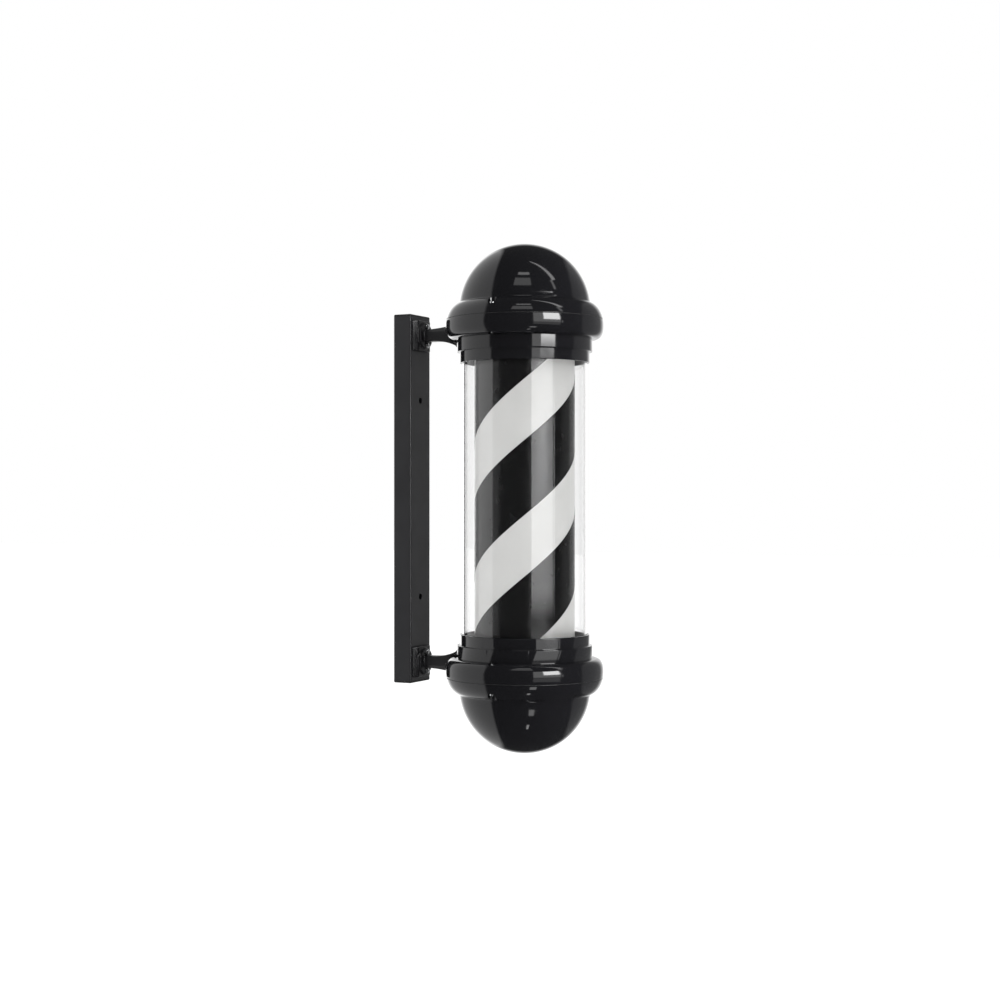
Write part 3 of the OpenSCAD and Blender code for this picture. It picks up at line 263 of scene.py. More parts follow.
def drawn(name, points):
    """A chain of edges through the points. It stays in edit mode, to be filled, pulled or spun."""
    bpy.ops.object.select_all(action="DESELECT")
    bpy.ops.mesh.primitive_plane_add(size=MM, location=(0, 0, 0))
    obj = named(name)
    enter(obj)
    bpy.ops.mesh.select_mode(type="VERT")
    bpy.ops.mesh.select_all(action="SELECT")
    bpy.ops.mesh.merge(type="CENTER")
    bpy.ops.transform.translate(value=points[0])
    for here, there in zip(points, points[1:]):
        bpy.ops.mesh.extrude_region_move(TRANSFORM_OT_translate={"value": there - here})
    return obj


def modifier(obj, kind, **settings):
    """Adds a modifier, sets it and applies it."""
    only(obj)
    mod = obj.modifiers.new(kind.title(), kind)
    for key, value in settings.items():
        setattr(mod, key, value)
    bpy.ops.object.modifier_apply(modifier=mod.name)


def carve(obj, cutter, operation="DIFFERENCE"):
    """Cuts or joins with another solid, which is used up."""
    modifier(obj, "BOOLEAN", object=cutter, operation=operation, solver="EXACT")
    bpy.data.objects.remove(cutter)


def soften(obj, width, segments=3, angle=40):
    """Rounds the sharp edges."""
    modifier(obj, "BEVEL", width=width, segments=segments, limit_method="ANGLE",
             angle_limit=math.radians(angle), use_clamp_overlap=True, harden_normals=False)


def smooth(obj, angle=32):
    """Smooth shading up to an angle. Large faces keep their direction, and the roundings take up the turn."""
    only(obj)
    bpy.ops.object.shade_smooth_by_angle(angle=math.radians(angle))
    modifier(obj, "WEIGHTED_NORMAL", weight=80, keep_sharp=True)


def tidy_mesh(obj):
    """Merges doubles and points all faces outwards."""
    enter(obj)
    bpy.ops.mesh.select_all(action="SELECT")
    bpy.ops.mesh.remove_doubles(threshold=0.01 * MM)
    bpy.ops.mesh.normals_make_consistent(inside=False)
    leave()


def joined(name, parts):
    """Joins several objects into one."""
    bpy.ops.object.select_all(action="DESELECT")
    for part in parts:
        part.select_set(True)
    bpy.context.view_layer.objects.active = parts[0]
    bpy.ops.object.join()
    return named(name)


def copied(obj, name, place):
    """A copy with its own mesh, placed by a matrix that goes into the mesh."""
    twin = obj.copy()
    twin.data = obj.data.copy()
    bpy.context.scene.collection.objects.link(twin)
    twin.name = name
    twin.data.name = name
    twin.data.transform(place)
    if place.determinant() < 0:
        twin.data.flip_normals()
    return twin


# Outlines and lathed shapes

def rounded(points, radius, closed=True, parts=4):
    """Rounds the sharp corners of an outline with short curves."""
    sharp = math.radians(28)
    share_of_side = 0.45
    out = []
    n = len(points)
    for i in range(n):
        here = Vector(points[i])
        if not closed and i in (0, n - 1):
            out.append(tuple(here))
            continue
        back = Vector(points[i - 1]) - here
        ahead = Vector(points[(i + 1) % n]) - here
        turn = math.pi - back.angle(ahead)
        if turn < sharp:
            out.append(tuple(here))
            continue
        reach = min(radius * math.tan(turn / 2), share_of_side * back.length, share_of_side * ahead.length)
        start = here + back.normalized() * reach
        end = here + ahead.normalized() * reach
        for k in range(parts + 1):
            t = k / parts
            out.append(tuple(start * (1 - t) ** 2 + here * 2 * t * (1 - t) + end * t ** 2))
    return out


def turns(start, end, n):
    """Angles from start to end in n steps, given in degrees."""
    return [math.radians(start + (end - start) * i / n) for i in range(n + 1)]


def arc(middle_r, middle_z, radius, start, end, n):
    """Points of a circle's arc."""
    return [(middle_r + radius * math.cos(t), middle_z + radius * math.sin(t)) for t in turns(start, end, n)]


def low_arc(gap, start, end, n):
    """Round of the band on the collar's side, a gap inside the skin."""
    power = 2 / LOW_POWER
    return [(BAND_R - LOW_A + (LOW_A - gap) * max(0, math.cos(t)) ** power,
             BAND_MID - (LOW_B - gap) * max(0, math.sin(t)) ** power) for t in turns(start, end, n)]


def up_arc(gap, start, end, n):
    """Round of the band on the dome's side, a gap inside the skin."""
    return [(BAND_R - UP_A + (UP_A - gap) * math.cos(t), BAND_MID + (UP_B - gap) * math.sin(t))
            for t in turns(start, end, n)]


def seam_angle(gap, z):
    """Angle at which the band's upper round reaches a height."""
    return math.degrees(math.asin((z - BAND_MID) / (UP_B - gap)))


def band_point(gap, z):
    """Point of the band's upper round at a height."""
    return up_arc(gap, seam_angle(gap, z), 0, 1)[0]


def capped(outline):
    """Turns heights over the collar's end into heights in the frame."""
    return [(r, CAP_END + z) for r, z in outline]


def housing_outline():
    wall = sizes().cap_wall
    steps = [(LEDGE_R, SOCKET_Z), (SOCKET_R, SOCKET_Z), (SOCKET_R, 0), (COLLAR_R, 0), (COLLAR_R, STEP_Z),
             (STEP_R, STEP_Z), (STEP_R, UNDER_Z)]
    outside = rounded(steps, STEP_ROUND, closed=False)
    skin = low_arc(0, 88, 0, 26) + up_arc(0, 4, seam_angle(0, SEAM_Z) - 1.2, 8)
    lip = [skin[-1], band_point(0, SEAM_Z), band_point(wall, SEAM_Z)]
    lip = rounded(lip, LIP_ROUND, closed=False)[1:]
    inside = up_arc(wall, seam_angle(wall, SEAM_Z), 4, 5)[1:] + low_arc(wall, 0, 88, 14)
    return outside + skin + lip + inside + [(LEDGE_R, BAND_MID - LOW_B + wall)]


def cover_outline():
    wall = sizes().cap_wall
    low = SEAM_Z + SEAL
    neck_turn = math.degrees(math.acos((NECK_C - BAND_R + UP_A) / UP_A))
    neck_z = BAND_MID + UP_B * math.sin(math.radians(neck_turn))
    dome_start = math.degrees(math.asin((neck_z + NECK_R - DOME_MID) / DOME_R))
    inside_r = DOME_R - wall
    inside_start = math.degrees(math.asin((BAND_END - wall - DOME_MID) / inside_r))
    skin = up_arc(0, seam_angle(0, low) + 1.2, neck_turn, 30)
    edge = rounded([band_point(wall, low), band_point(0, low), skin[0]], LIP_ROUND, closed=False)[:-1]
    neck = arc(NECK_C, neck_z + NECK_R, NECK_R, 262, 188, 8)
    dome = arc(0, DOME_MID, DOME_R, dome_start + 1, 90, 48)
    hollow = arc(0, DOME_MID, inside_r, 90, inside_start, 30)
    return edge + skin + neck + dome + hollow + up_arc(wall, 82, seam_angle(wall, low) + 2, 14)


def lathe(name, outline, closed=True, turn=2 * math.pi, start=0.0, steps=None):
    """Spins an outline of (radius, height) points round the pole's axis, clockwise from the start angle."""
    points = [Vector((r * math.cos(start), AXIS_Y + r * math.sin(start), z)) for r, z in outline]
    obj = drawn(name, points)
    if closed:
        ends = [points[0], points[-1]]
        pick(obj, "VERT", lambda v: min((v.co - e).length for e in ends) < CLOSE)
        bpy.ops.mesh.edge_face_add()
    bpy.ops.mesh.select_all(action="SELECT")
    bpy.ops.mesh.spin(steps=steps or sizes().steps, angle=turn, center=(0, AXIS_Y, 0), axis=(0, 0, 1))
    leave()
    tidy_mesh(obj)
    return obj


def sleeve(name, outside, wall, low, high, edge):
    """A tube round the pole's axis with rounded end edges."""
    inside = outside - wall
    outline = [(inside, low), (outside, low), (outside, high), (inside, high)]
    obj = lathe(name, rounded(outline, edge), steps=192)
    smooth(obj, 40)
    return obj


# Materials

WHITE = (1, 1, 1, 1)


def linear(code):
    """Turns an sRGB hex value into linear colour."""
    parts = [int(code[i:i + 2], 16) / 255 for i in (0, 2, 4)]
    return tuple(c / 12.92 if c <= 0.04045 else ((c + 0.055) / 1.055) ** 2.4 for c in parts) + (1.0,)


def shaded(colour, factor):
    """A linear colour made lighter or darker."""
    return tuple(c * factor for c in colour[:3]) + (1.0,)


def add_node(tree, kind, inputs=(), stops=(), **settings):
    """Adds a node with its settings and the stops of its ramp. Its inputs, by name or in their order, are
    values to set, sockets to link, or nodes whose first output is linked."""
    node = tree.nodes.new("ShaderNode" + kind)
    for key, value in settings.items():
        setattr(node, key, value)
    for key, value in inputs.items() if isinstance(inputs, dict) else enumerate(inputs):
        if isinstance(value, bpy.types.Node):
            value = value.outputs[0]
        if isinstance(value, bpy.types.NodeSocket):
            tree.links.new(value, node.inputs[key])
        else:
            node.inputs[key].default_value = value
    for i, (place, value) in enumerate(stops):
        element = node.color_ramp.elements[i]
        element.position = place
        element.color = value if isinstance(value, tuple) else (value, value, value, 1)
    return node


def new_material(name):
    material = bpy.data.materials.new(name)
    material.use_nodes = True
    tree = material.node_tree
    tree.nodes.clear()
    return material, tree


def finish(material, inputs):
    """Gives a material its surface, a principled shader with these inputs."""
    tree = material.node_tree
    add_node(tree, "OutputMaterial", {"Surface": add_node(tree, "BsdfPrincipled", inputs)})
    return material


def grain(tree, size, detail=2.0, stretch=(1, 1, 1)):
    """Noise whose grains are about the given size across, in metres."""
    place = add_node(tree, "TexCoord").outputs["Object"]
    turned = add_node(tree, "Mapping", {"Vector": place, "Scale": stretch})
    return add_node(tree, "TexNoise", {"Vector": turned, "Scale": 1 / size, "Detail": detail})


def patches(tree, size, detail, *stops):
    """A value or colour that wanders between stops, in patches of about the given size."""
    return add_node(tree, "ValToRGB", [grain(tree, size, detail)], stops)


def waves(tree, size, depth, strength, detail=2.0, stretch=(1, 1, 1)):
    """A skin with shallow waves of about the given size."""
    noise = grain(tree, size, detail, stretch)
    return add_node(tree, "Bump", {"Height": noise, "Distance": depth, "Strength": strength})


def grained(name, colour, low, high, size, metallic=0.0, stretch=(1, 1, 1)):
    """A finish with fine grain, its size in millimetres: rough between two values, with a bump that is
    shallower on a metal."""
    material, tree = new_material(name)
    noise = grain(tree, size * MM, 3.0, stretch)
    return finish(material, {
        "Base Color": linear(colour), "Metallic": metallic,
        "Roughness": add_node(tree, "ValToRGB", [noise], [(0.3, low), (0.7, high)]),
        "Normal": add_node(tree, "Bump", {"Height": noise, "Distance": (0.02 - 0.01 * metallic) * MM,
                                          "Strength": 0.4 - 0.1 * metallic})})


# The finishes, each named for its slot

def cap_gloss():
    """Gloss black ABS caps, injection moulded and lacquered: deep black with sharp reflections,
    a faint orange peel of about 9 mm and fine dust that dulls the gloss in patches."""
    material, tree = new_material("gloss_black_abs")
    return finish(material, {
        "Base Color": linear(colours().cap), "IOR": 1.52,
        "Roughness": patches(tree, 26 * MM, 4.0, (0.35, 0.045), (0.75, 0.11)),
        "Normal": waves(tree, 9 * MM, 0.02 * MM, 0.35, 1.0)})


def bar_paint():
    """Satin black powder coat, baked on the steel bar: soft wide highlights and slightly brighter scuffs.
    Its pebbled skin of about 0.8 mm is drawn at 1.2 mm so that it shows."""
    material, tree = new_material("black_powder_coat")
    base = linear(colours().bar)
    return finish(material, {
        "Base Color": patches(tree, 55 * MM, 5.0, (0.3, base), (0.75, shaded(base, 1.25))), "IOR": 1.5,
        "Roughness": patches(tree, 40 * MM, 6.0, (0.4, 0.30), (0.7, 0.42)),
        "Normal": waves(tree, 1.2 * MM, 0.04 * MM, 0.35)})


def arm_paint():
    """Satin black enamel on the die-cast arms: smoother than the bar, with the soft waves of the casting."""
    material, tree = new_material("black_cast_enamel")
    return finish(material, {
        "Base Color": linear(colours().arm), "IOR": 1.5,
        "Roughness": patches(tree, 18 * MM, 4.0, (0.35, 0.28), (0.7, 0.38)),
        "Normal": waves(tree, 12 * MM, 0.04 * MM, 0.4)})


def clear_plastic():
    """Extruded clear acrylic: water-clear, with faint drawn lines along the tube."""
    material, tree = new_material("clear_acrylic")
    return finish(material, {
        "Base Color": WHITE, "IOR": 1.49, "Roughness": 0.0, "Transmission Weight": 1.0,
        "Normal": waves(tree, 14 * MM, 0.01 * MM, 0.3, stretch=(1, 1, 0.02))})


def drum_white():
    """White rolled PVC sheet of the drum: half gloss, with slight unevenness of tone."""
    material, tree = new_material("white_pvc_sheet")
    base = linear(colours().drum)
    return finish(material, {
        "Base Color": patches(tree, 60 * MM, 3.0, (0.3, shaded(base, 0.94)), (0.65, base)), "IOR": 1.5,
        "Roughness": patches(tree, 12 * MM, 3.0, (0.3, 0.28), (0.7, 0.36)),
        "Normal": waves(tree, 30 * MM, 0.1 * MM, 0.3, 1.0, (1, 1, 0.15))})


def stripe_black():
    """Black cast vinyl film wrapped on the drum: smooth, half gloss, with faint stretch lines up the drum."""
    material, tree = new_material("black_vinyl_film")
    return finish(material, {
        "Base Color": linear(colours().stripe), "IOR": 1.48,
        "Roughness": patches(tree, 15 * MM, 3.0, (0.3, 0.20), (0.7, 0.28)),
        "Normal": waves(tree, 22 * MM, 0.06 * MM, 0.3, 1.0, (1, 1, 0.3))})


def copper_coil():
    """Varnished copper wire of the coil: fine turns of 0.4 mm, drawn coarser so that they show."""
    material, tree = new_material("varnished_copper")
    place = add_node(tree, "TexCoord").outputs["Object"]
    wave = add_node(tree, "TexWave", {"Vector": place, "Scale": 1 / (6 * MM)}, bands_direction="Z")
    return finish(material, {
        "Base Color": linear("B5693A"), "Metallic": 0.9, "Roughness": 0.35,
        "Normal": add_node(tree, "Bump", {"Height": wave.outputs["Fac"], "Distance": 0.2 * MM,
                                          "Strength": 0.6})})


def led_board():
    """White lacquered board of the lamp strips, with the pale yellow of the chips showing in patches."""
    material, tree = new_material("lamp_board")
    cells = patches(tree, 14 * MM, 1.0, (0.45, linear("F2F0E6")), (0.6, linear("EFE3A8")))
    return finish(material, {"Base Color": cells, "Roughness": 0.45, "IOR": 1.5})


def seal_rubber():
    """Moulded EPDM rubber of seals, bushes and grommet: matt black with a faint bloom."""
    return grained("black_epdm", colours().rubber, 0.6, 0.75, 2)


# Finishes with fine grain, by slot: name, colour, lowest and highest roughness, grain in millimetres, and for
# a metal its metallic share and how the grain is stretched
GRAINED = {
    # Chrome, plated on the screws and bolts: mirror bright, with faint buffing marks
    "chrome": ("chrome_plate", "DADBDD", 0.05, 0.12, 3, 1.0),
    # Zinc-plated sheet steel of plates and brackets: pale grey, with the cloudy bloom of the bath
    "zinc_steel": ("zinc_plated_steel", "B9BBC0", 0.26, 0.42, 5, 1.0),
    # Turned aluminium of hub and post: bright, with tool marks that run round
    "turned_aluminium": ("turned_aluminium", "C9CBCE", 0.22, 0.34, 2, 1.0, (1, 1, 4)),
    # Ground bearing steel: bright and nearly smooth
    "bearing_steel": ("ground_bearing_steel", "C4C6CA", 0.10, 0.2, 1.5, 1.0),
    # Blackened spring steel of the circlips: dark and dull
    "spring_steel": ("blackened_spring_steel", "3A3A3D", 0.35, 0.5, 2, 1.0),
    # Machined brass of gears and terminals: warm yellow with fine cutting marks
    "brass": ("machined_brass", "C9A55A", 0.2, 0.32, 1.5, 1.0),
    # Sintered ferrite of the rotor: dark grey and matt
    "magnet": ("sintered_magnet", "3E3E42", 0.45, 0.6, 1, 1.0),
    # Moulded black nylon of the end plugs: matt, with the fine texture of the mould
    "plug_plastic": ("matt_black_nylon", "151515", 0.42, 0.55, 1.5),
    # Moulded white polycarbonate of the lamp driver's case: satin
    "driver_case": ("white_polycarbonate", "DEDEDA", 0.4, 0.5, 2),
    # Moulded natural nylon of the terminal block: milky white and satin
    "block_plastic": ("white_nylon", "DAD9D2", 0.38, 0.5, 2),
    # Moulded grey nylon of the splice block: dark and matt
    "splice_plastic": ("grey_nylon", "2C2C2E", 0.42, 0.55, 2),
    # Extruded black PVC jacket of the leads: satin black
    "lead_jacket": ("black_pvc_jacket", "1A1A1A", 0.4, 0.5, 2),
}
OWN_FINISHES = {make.__name__: make for make in (cap_gloss, bar_paint, arm_paint, clear_plastic, drum_white,
                                                 stripe_black, copper_coil, led_board, seal_rubber)}
made = {}


def finish_of(slot):
    """The material of a slot, made when it is first asked for."""
    if slot not in made:
        made[slot] = OWN_FINISHES[slot]() if slot in OWN_FINISHES else grained(*GRAINED[slot])
    return made[slot]


# Finishing a piece

def set_material(obj, material):
    obj.data.materials.clear()
    obj.data.materials.append(material)


def done(obj, body, slot, node):
    """Gives a finished piece the finish of its slot, puts it in its body, and hides the node that it stands
    for.
    """
    set_material(obj, finish_of(slot))
    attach(obj, body)
    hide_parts(node)


def pan_head(name, shank):
    """A pan-head screw with a cross recess: its head stands on z = 0 and its shank goes down."""
    outline = [(0, -shank), (0.7 * SHANK_R, -shank), (SHANK_R, -shank + 0.4 * SHANK_R), (SHANK_R, 0)]
    head = ((1, 0), (1, 0.42), (0.93, 0.68), (0.76, 0.87), (0.5, 0.97), (0, 1))
    outline += [(across * HEAD_R, up * HEAD_H) for across, up in head]
    screw = lathe(name, rounded(outline, 0.25 * MM, closed=False, parts=3), closed=False, steps=40)
    screw.data.transform(Matrix.Translation((0, -AXIS_Y, 0)))
    slot_long, slot_wide = 0.56 * HEAD_R, 0.13 * HEAD_R
    for turn in (20, 110):
        slot = block("recess", (-slot_long, -slot_wide, 0.35 * HEAD_H), (slot_long, slot_wide, 1.5 * HEAD_H))
        slot.data.transform(Matrix.Rotation(math.radians(turn), 4, "Z"))
        enter(slot)
        pick(slot, "VERT", lambda v: v.co.z < 0.5 * HEAD_H)
        bpy.ops.transform.resize(value=(0.6, 0.6, 1))
        leave()
        carve(screw, slot)
    smooth(screw, 30)
    return screw


# Operators, one for each piece or group of like pieces

class POLE_OT_bar(bpy.types.Operator):
    """Wall bar: a rectangular steel tube with rounded corners, wall screw holes and screwdriver holes"""
    bl_idname = "pole.bar"
    bl_label = "Wall Bar"

    def execute(self, context):
        wall = sizes().bar_wall
        bar = block("wall_bar_tube", BAR_LOW, BAR_HIGH)
        enter(bar)
        pick(bar, "FACE", lambda f: abs(f.normal.z) > 0.9)
        bpy.ops.mesh.delete(type="ONLY_FACE")
        pick(bar, "EDGE", lambda e: rise(e) > BAR_D)
        bpy.ops.mesh.bevel(offset=sizes().corner, segments=6, affect="EDGES")
        leave()
        modifier(bar, "SOLIDIFY", thickness=wall, offset=-1, use_even_offset=True)
        back, front = (-2 * wall, wall), (-BAR_D - wall, -BAR_D / 2)
        holes = ((WALL_HOLE_Z, back, WALL_HOLE_R), (WALL_HOLE_Z, front, DRIVER_HOLE_R),
                 (ARM_Z, front, LEAD_HOLE_R))
        for side in (-1, 1):
            for z, (start, end), radius in holes:
                carve(bar, rod("cut", (0, start, side * z), (0, end, side * z), radius))
        soften(bar, 0.25 * MM, 2, 50)
        smooth(bar, 30)
        done(bar, "frame", "bar_paint", "wall_bar")
        return {"FINISHED"}


class POLE_OT_plugs(bpy.types.Operator):
    """End plugs of the bar: moulded lids with a spigot that goes into the tube"""
    bl_idname = "pole.plugs"
    bl_label = "End Plugs"

    def execute(self, context):
        for node, name, side in (("bar_cap_top", "end_plug_upper", 1),
                                 ("bar_cap_bottom", "end_plug_lower", -1)):
            done(self.plug(node, name, side), "frame", "plug_plastic", node)
        return {"FINISHED"}

    def plug(self, node, name, side):
        low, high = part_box(node)
        lid = 3 * MM
        spigot = 4 * MM
        end_z = high.z if side > 0 else low.z
        lid_low, lid_high = sorted((end_z, end_z - side * lid))
        plug = block(name, (low.x, low.y, lid_low), (high.x, high.y, lid_high))
        enter(plug)
        pick(plug, "EDGE", lambda e: rise(e) > lid / 2)
        bpy.ops.mesh.bevel(offset=sizes().corner, segments=6, affect="EDGES")
        pick(plug, "EDGE", lambda e: all(abs(v.co.z - end_z) < CLOSE for v in e.verts))
        bpy.ops.mesh.bevel(offset=2 * MM, segments=5, affect="EDGES")
        pick(plug, "FACE", lambda f: f.normal.z * side < -0.9)
        bpy.ops.mesh.inset(thickness=2.4 * MM)
        bpy.ops.mesh.extrude_region_move(TRANSFORM_OT_translate={"value": (0, 0, -side * spigot)})
        leave()
        if side < 0:
            ring_low, ring_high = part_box("lead_grommet")
            x, y, _ = (ring_low + ring_high) / 2
            carve(plug, rod("cut", (x, y, low.z - lid), (x, y, high.z + lid), LEAD_HOLE_R))
        smooth(plug, 35)
        return plug


class POLE_OT_grommet(bpy.types.Operator):
    """Rubber grommet of the supply lead in the lower end plug"""
    bl_idname = "pole.grommet"
    bl_label = "Grommet"

    def execute(self, context):
        low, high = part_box("lead_grommet")
        flange = 1.5 * MM
        out = (high.x - low.x) / 2
        neck = out - flange
        hole = neck - 1.45 * MM
        top = low.z + flange
        outline = [(hole, low.z), (out, low.z), (out, top), (neck, top), (neck, high.z), (hole, high.z)]
        ring = lathe("supply_grommet", rounded(outline, 0.7 * MM), steps=64)
        ring.data.transform(Matrix.Translation(((low.x + high.x) / 2, (low.y + high.y) / 2 - AXIS_Y, 0)))
        smooth(ring, 40)
        done(ring, "frame", "seal_rubber", "lead_grommet")
        return {"FINISHED"}


class POLE_OT_arms(bpy.types.Operator):
    """Cast arms: foot with a round boss, stem with sloped edges, gusset and the saddle on the cap"""
    bl_idname = "pole.arms"
    bl_label = "Arms"

    def execute(self, context):
        tongue, saddle = self.saddle_outlines()
        parts = [self.foot(), self.boss(), self.stem(), self.root(), self.gusset(),
                 self.sector("tongue", tongue, TONGUE_HALF), self.sector("saddle", saddle, SADDLE_HALF)]
        arm = joined("arm_upper", parts + self.pads())
        modifier(arm, "REMESH", mode="VOXEL", voxel_size=0.75 * MM, adaptivity=0.0)
        modifier(arm, "SMOOTH", factor=0.5, iterations=4)
        modifier(arm, "DECIMATE", ratio=0.45)
        only(arm)
        bpy.ops.object.shade_smooth()
        lower = copied(arm, "arm_lower", MIRROR_Z)
        done(arm, "frame", "arm_paint", "arm_top")
        done(lower, "frame", "arm_paint", "arm_bottom")
        return {"FINISHED"}

    def foot(self):
        """Plate on the bar that narrows to its face."""
        foot = block("foot", (-FOOT_W / 2, -BAR_D - FOOT_T, ARM_Z - FOOT_H / 2),
                     (FOOT_W / 2, -BAR_D, ARM_Z + FOOT_H / 2))
        enter(foot)
        pick(foot, "FACE", lambda f: f.normal.y < -0.9)
        bpy.ops.transform.resize(value=(FACE_W / FOOT_W, 1, 1), center_override=(0, 0, ARM_Z))
        leave()
        soften(foot, 1.0 * MM, 3, 20)
        return foot

    def boss(self):
        """Round boss on the foot, cut to the width of the foot's face."""
        boss = rod("boss", (0, -BAR_D - FOOT_T / 2, ARM_Z), (0, FACE_Y, ARM_Z), BOSS_R, 96)
        keep = block("keep", (-FACE_W / 2, FACE_Y - MM, ARM_Z - FOOT_H), (FACE_W / 2, 0, ARM_Z + FOOT_H))
        carve(boss, keep, "INTERSECT")
        enter(boss)
        pick(boss, "EDGE", lambda e: all(abs(v.co.y - FACE_Y) < CLOSE for v in e.verts))
        bpy.ops.mesh.bevel(offset=1.2 * MM, segments=4, affect="EDGES")
        leave()
        return boss

    def plate(self, name, outline):
        """A plate as wide as the stem, from an outline of (y, height) points."""
        obj = drawn(name, [Vector((-STEM_W / 2, y, z)) for y, z in outline])
        bpy.ops.mesh.select_all(action="SELECT")
        bpy.ops.mesh.edge_face_add()
        bpy.ops.mesh.extrude_region_move(TRANSFORM_OT_translate={"value": (STEM_W, 0, 0)})
        leave()
        tidy_mesh(obj)
        return obj

    def stem(self):
        """Stem whose top climbs to the saddle between two sloping sides, so that it narrows like a roof."""
        start_y = FACE_Y + 2 * MM
        rises = [(33, 0.9), (23, 1.8), (14, 3.2), (6, 4.5), (0, 5.0), (-3, 5.0)]
        top = [(SADDLE_Y + y * MM, STEM_TOP + z * MM) for y, z in rises]
        stem = self.plate("stem", [(start_y, STEM_LOW), (start_y, STEM_TOP)] + top
                          + [(SADDLE_Y - 3 * MM, STEM_LOW)])
        slope = 4 * MM
        reach = 12 * MM
        for side in (-1, 1):
            cutter = block("cut", (0, SADDLE_Y - 0.5 * MM, -reach), (reach, FACE_Y + 4 * MM, 2 * reach))
            cutter.data.transform(Matrix.Translation((side * (STEM_W / 2 - slope), 0, STEM_TOP))
                                  @ Matrix.Rotation(side * math.radians(-45), 4, "Y")
                                  @ Matrix.Scale(side, 4, (1, 0, 0)))
            tidy_mesh(cutter)
            carve(stem, cutter)
        return stem

    def root(self):
        """Hollow round where the stem grows out of the boss."""
        hollow_r = 5 * MM
        flare = arc(STEM_H / 2 + 3.6 * MM, hollow_r, hollow_r, 250, 180, 10)
        root = lathe("root", flare + [(0, hollow_r), (0, -MM)], steps=64)
        root.data.transform(Matrix.Translation((0, FACE_Y, ARM_Z)) @ QUARTER_TURN_X
                            @ Matrix.Translation((0, -AXIS_Y, 0)))
        keep = block("keep", (-STEM_W / 2 - MM, FACE_Y - 8 * MM, ARM_Z - STEM_H),
                     (STEM_W / 2 + MM, FACE_Y + 2 * MM, ARM_Z + STEM_H))
        carve(root, keep, "INTERSECT")
        return root

    def gusset(self):
        """Web under the stem that curves down to the step, with a window under the band."""
        curve_r = 86 * MM
        web = 4.3 * MM
        start_y = SADDLE_Y + 29 * MM
        under = CAP_END + UNDER_Z
        tip_y, tip_z = AXIS_Y + STEP_R + 0.4 * MM, under - 14 * MM
        below = arc(start_y, STEM_LOW - curve_r, curve_r, 90, 114, 12)
        tip = [(tip_y + 2.8 * MM, tip_z + MM), (tip_y, tip_z), (tip_y, tip_z + web - MM),
               (tip_y + 1.6 * MM, tip_z + web)]
        window = [(SADDLE_Y - 8 * MM, under - 2.4 * MM), (SADDLE_Y - MM, under + 1.5 * MM),
                  (SADDLE_Y + web, under + 5.5 * MM), (SADDLE_Y + 9 * MM, STEM_LOW + 5 * MM)]
        return self.plate("gusset", below + tip + window + [(start_y, STEM_LOW + 5 * MM)])

    def saddle_outlines(self):
        """Outlines of the narrow tongue on collar and step, and of the saddle on step and band."""
        near, far = SADDLE_GAP, SADDLE_GAP + SADDLE_T
        start_z, tongue_z = 0.5 * MM, STEP_Z + 3 * MM
        saddle_low, saddle_high = STEP_Z + MM, SEAM_Z - MM
        tongue = [(COLLAR_R + far, start_z), (COLLAR_R + far, STEP_Z - far), (STEP_R + far, STEP_Z - far),
                  (STEP_R + far, tongue_z), (STEP_R + near, tongue_z), (STEP_R + near, STEP_Z - near),
                  (COLLAR_R + near, STEP_Z - near), (COLLAR_R + near, start_z)]
        foot_turn = math.acos(((STEP_R + far - BAND_R + LOW_A) / (LOW_A + far)) ** (LOW_POWER / 2))
        outside = [(STEP_R + far, saddle_low)] + low_arc(-far, math.degrees(foot_turn), 0, 14)
        outside += up_arc(-far, 3, seam_angle(-far, saddle_high), 6)
        inside = up_arc(-near, seam_angle(-near, saddle_high), 3, 6) + low_arc(-near, 0, 84, 14)
        inside += [(STEP_R + near, UNDER_Z - near), (STEP_R + near, saddle_low)]
        return tongue, outside + inside

    def sector(self, name, outline, half):
        """Spins an outline to each side of the wall's direction and closes the two ends."""
        obj = lathe(name, capped(outline), turn=2 * half, start=math.pi / 2 + half, steps=24)
        enter(obj)
        bpy.ops.mesh.select_mode(type="EDGE")
        bpy.ops.mesh.select_all(action="DESELECT")
        bpy.ops.mesh.select_non_manifold()
        bpy.ops.mesh.fill()
        leave()
        tidy_mesh(obj)
        return obj

    def pads(self):
        """Round pads on the saddle for the screws that come out of the cap."""
        pads = []
        middle = Vector((0, AXIS_Y, CAP_END + BAND_MID - 4 * MM))
        for side in (-1, 1):
            turn = math.pi / 2 + side * PAD_TURN
            way = Vector((math.cos(turn), math.sin(turn), 0))
            start = middle + way * (BAND_R + SADDLE_GAP + 0.6 * MM)
            pads.append(rod("pad", start, start + way * (SADDLE_T + 2.4 * MM), PAD_R, 32))
        return pads


class POLE_OT_foot_screws(bpy.types.Operator):
    """Chrome pan-head screws that hold the arms' feet to the bar"""
    bl_idname = "pole.foot_screws"
    bl_label = "Foot Screws"

    def execute(self, context):
        low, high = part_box("foot_screws")
        screw = pan_head("foot_screw", high.y - low.y - HEAD_H)
        copies = []
        for side in (-1, 1):
            for row in (-1, 1):
                place = Matrix.Translation((0, low.y + HEAD_H, side * ARM_Z + row * FOOT_SCREW_UP))
                spin = Matrix.Rotation(math.radians(25 * row + 40 * side), 4, "Z")
                copies.append(copied(screw, "foot_screw_copy", place @ QUARTER_TURN_X @ spin))
        bpy.data.objects.remove(screw)
        done(joined("foot_screw_set", copies), "frame", "chrome", "foot_screws")
        return {"FINISHED"}


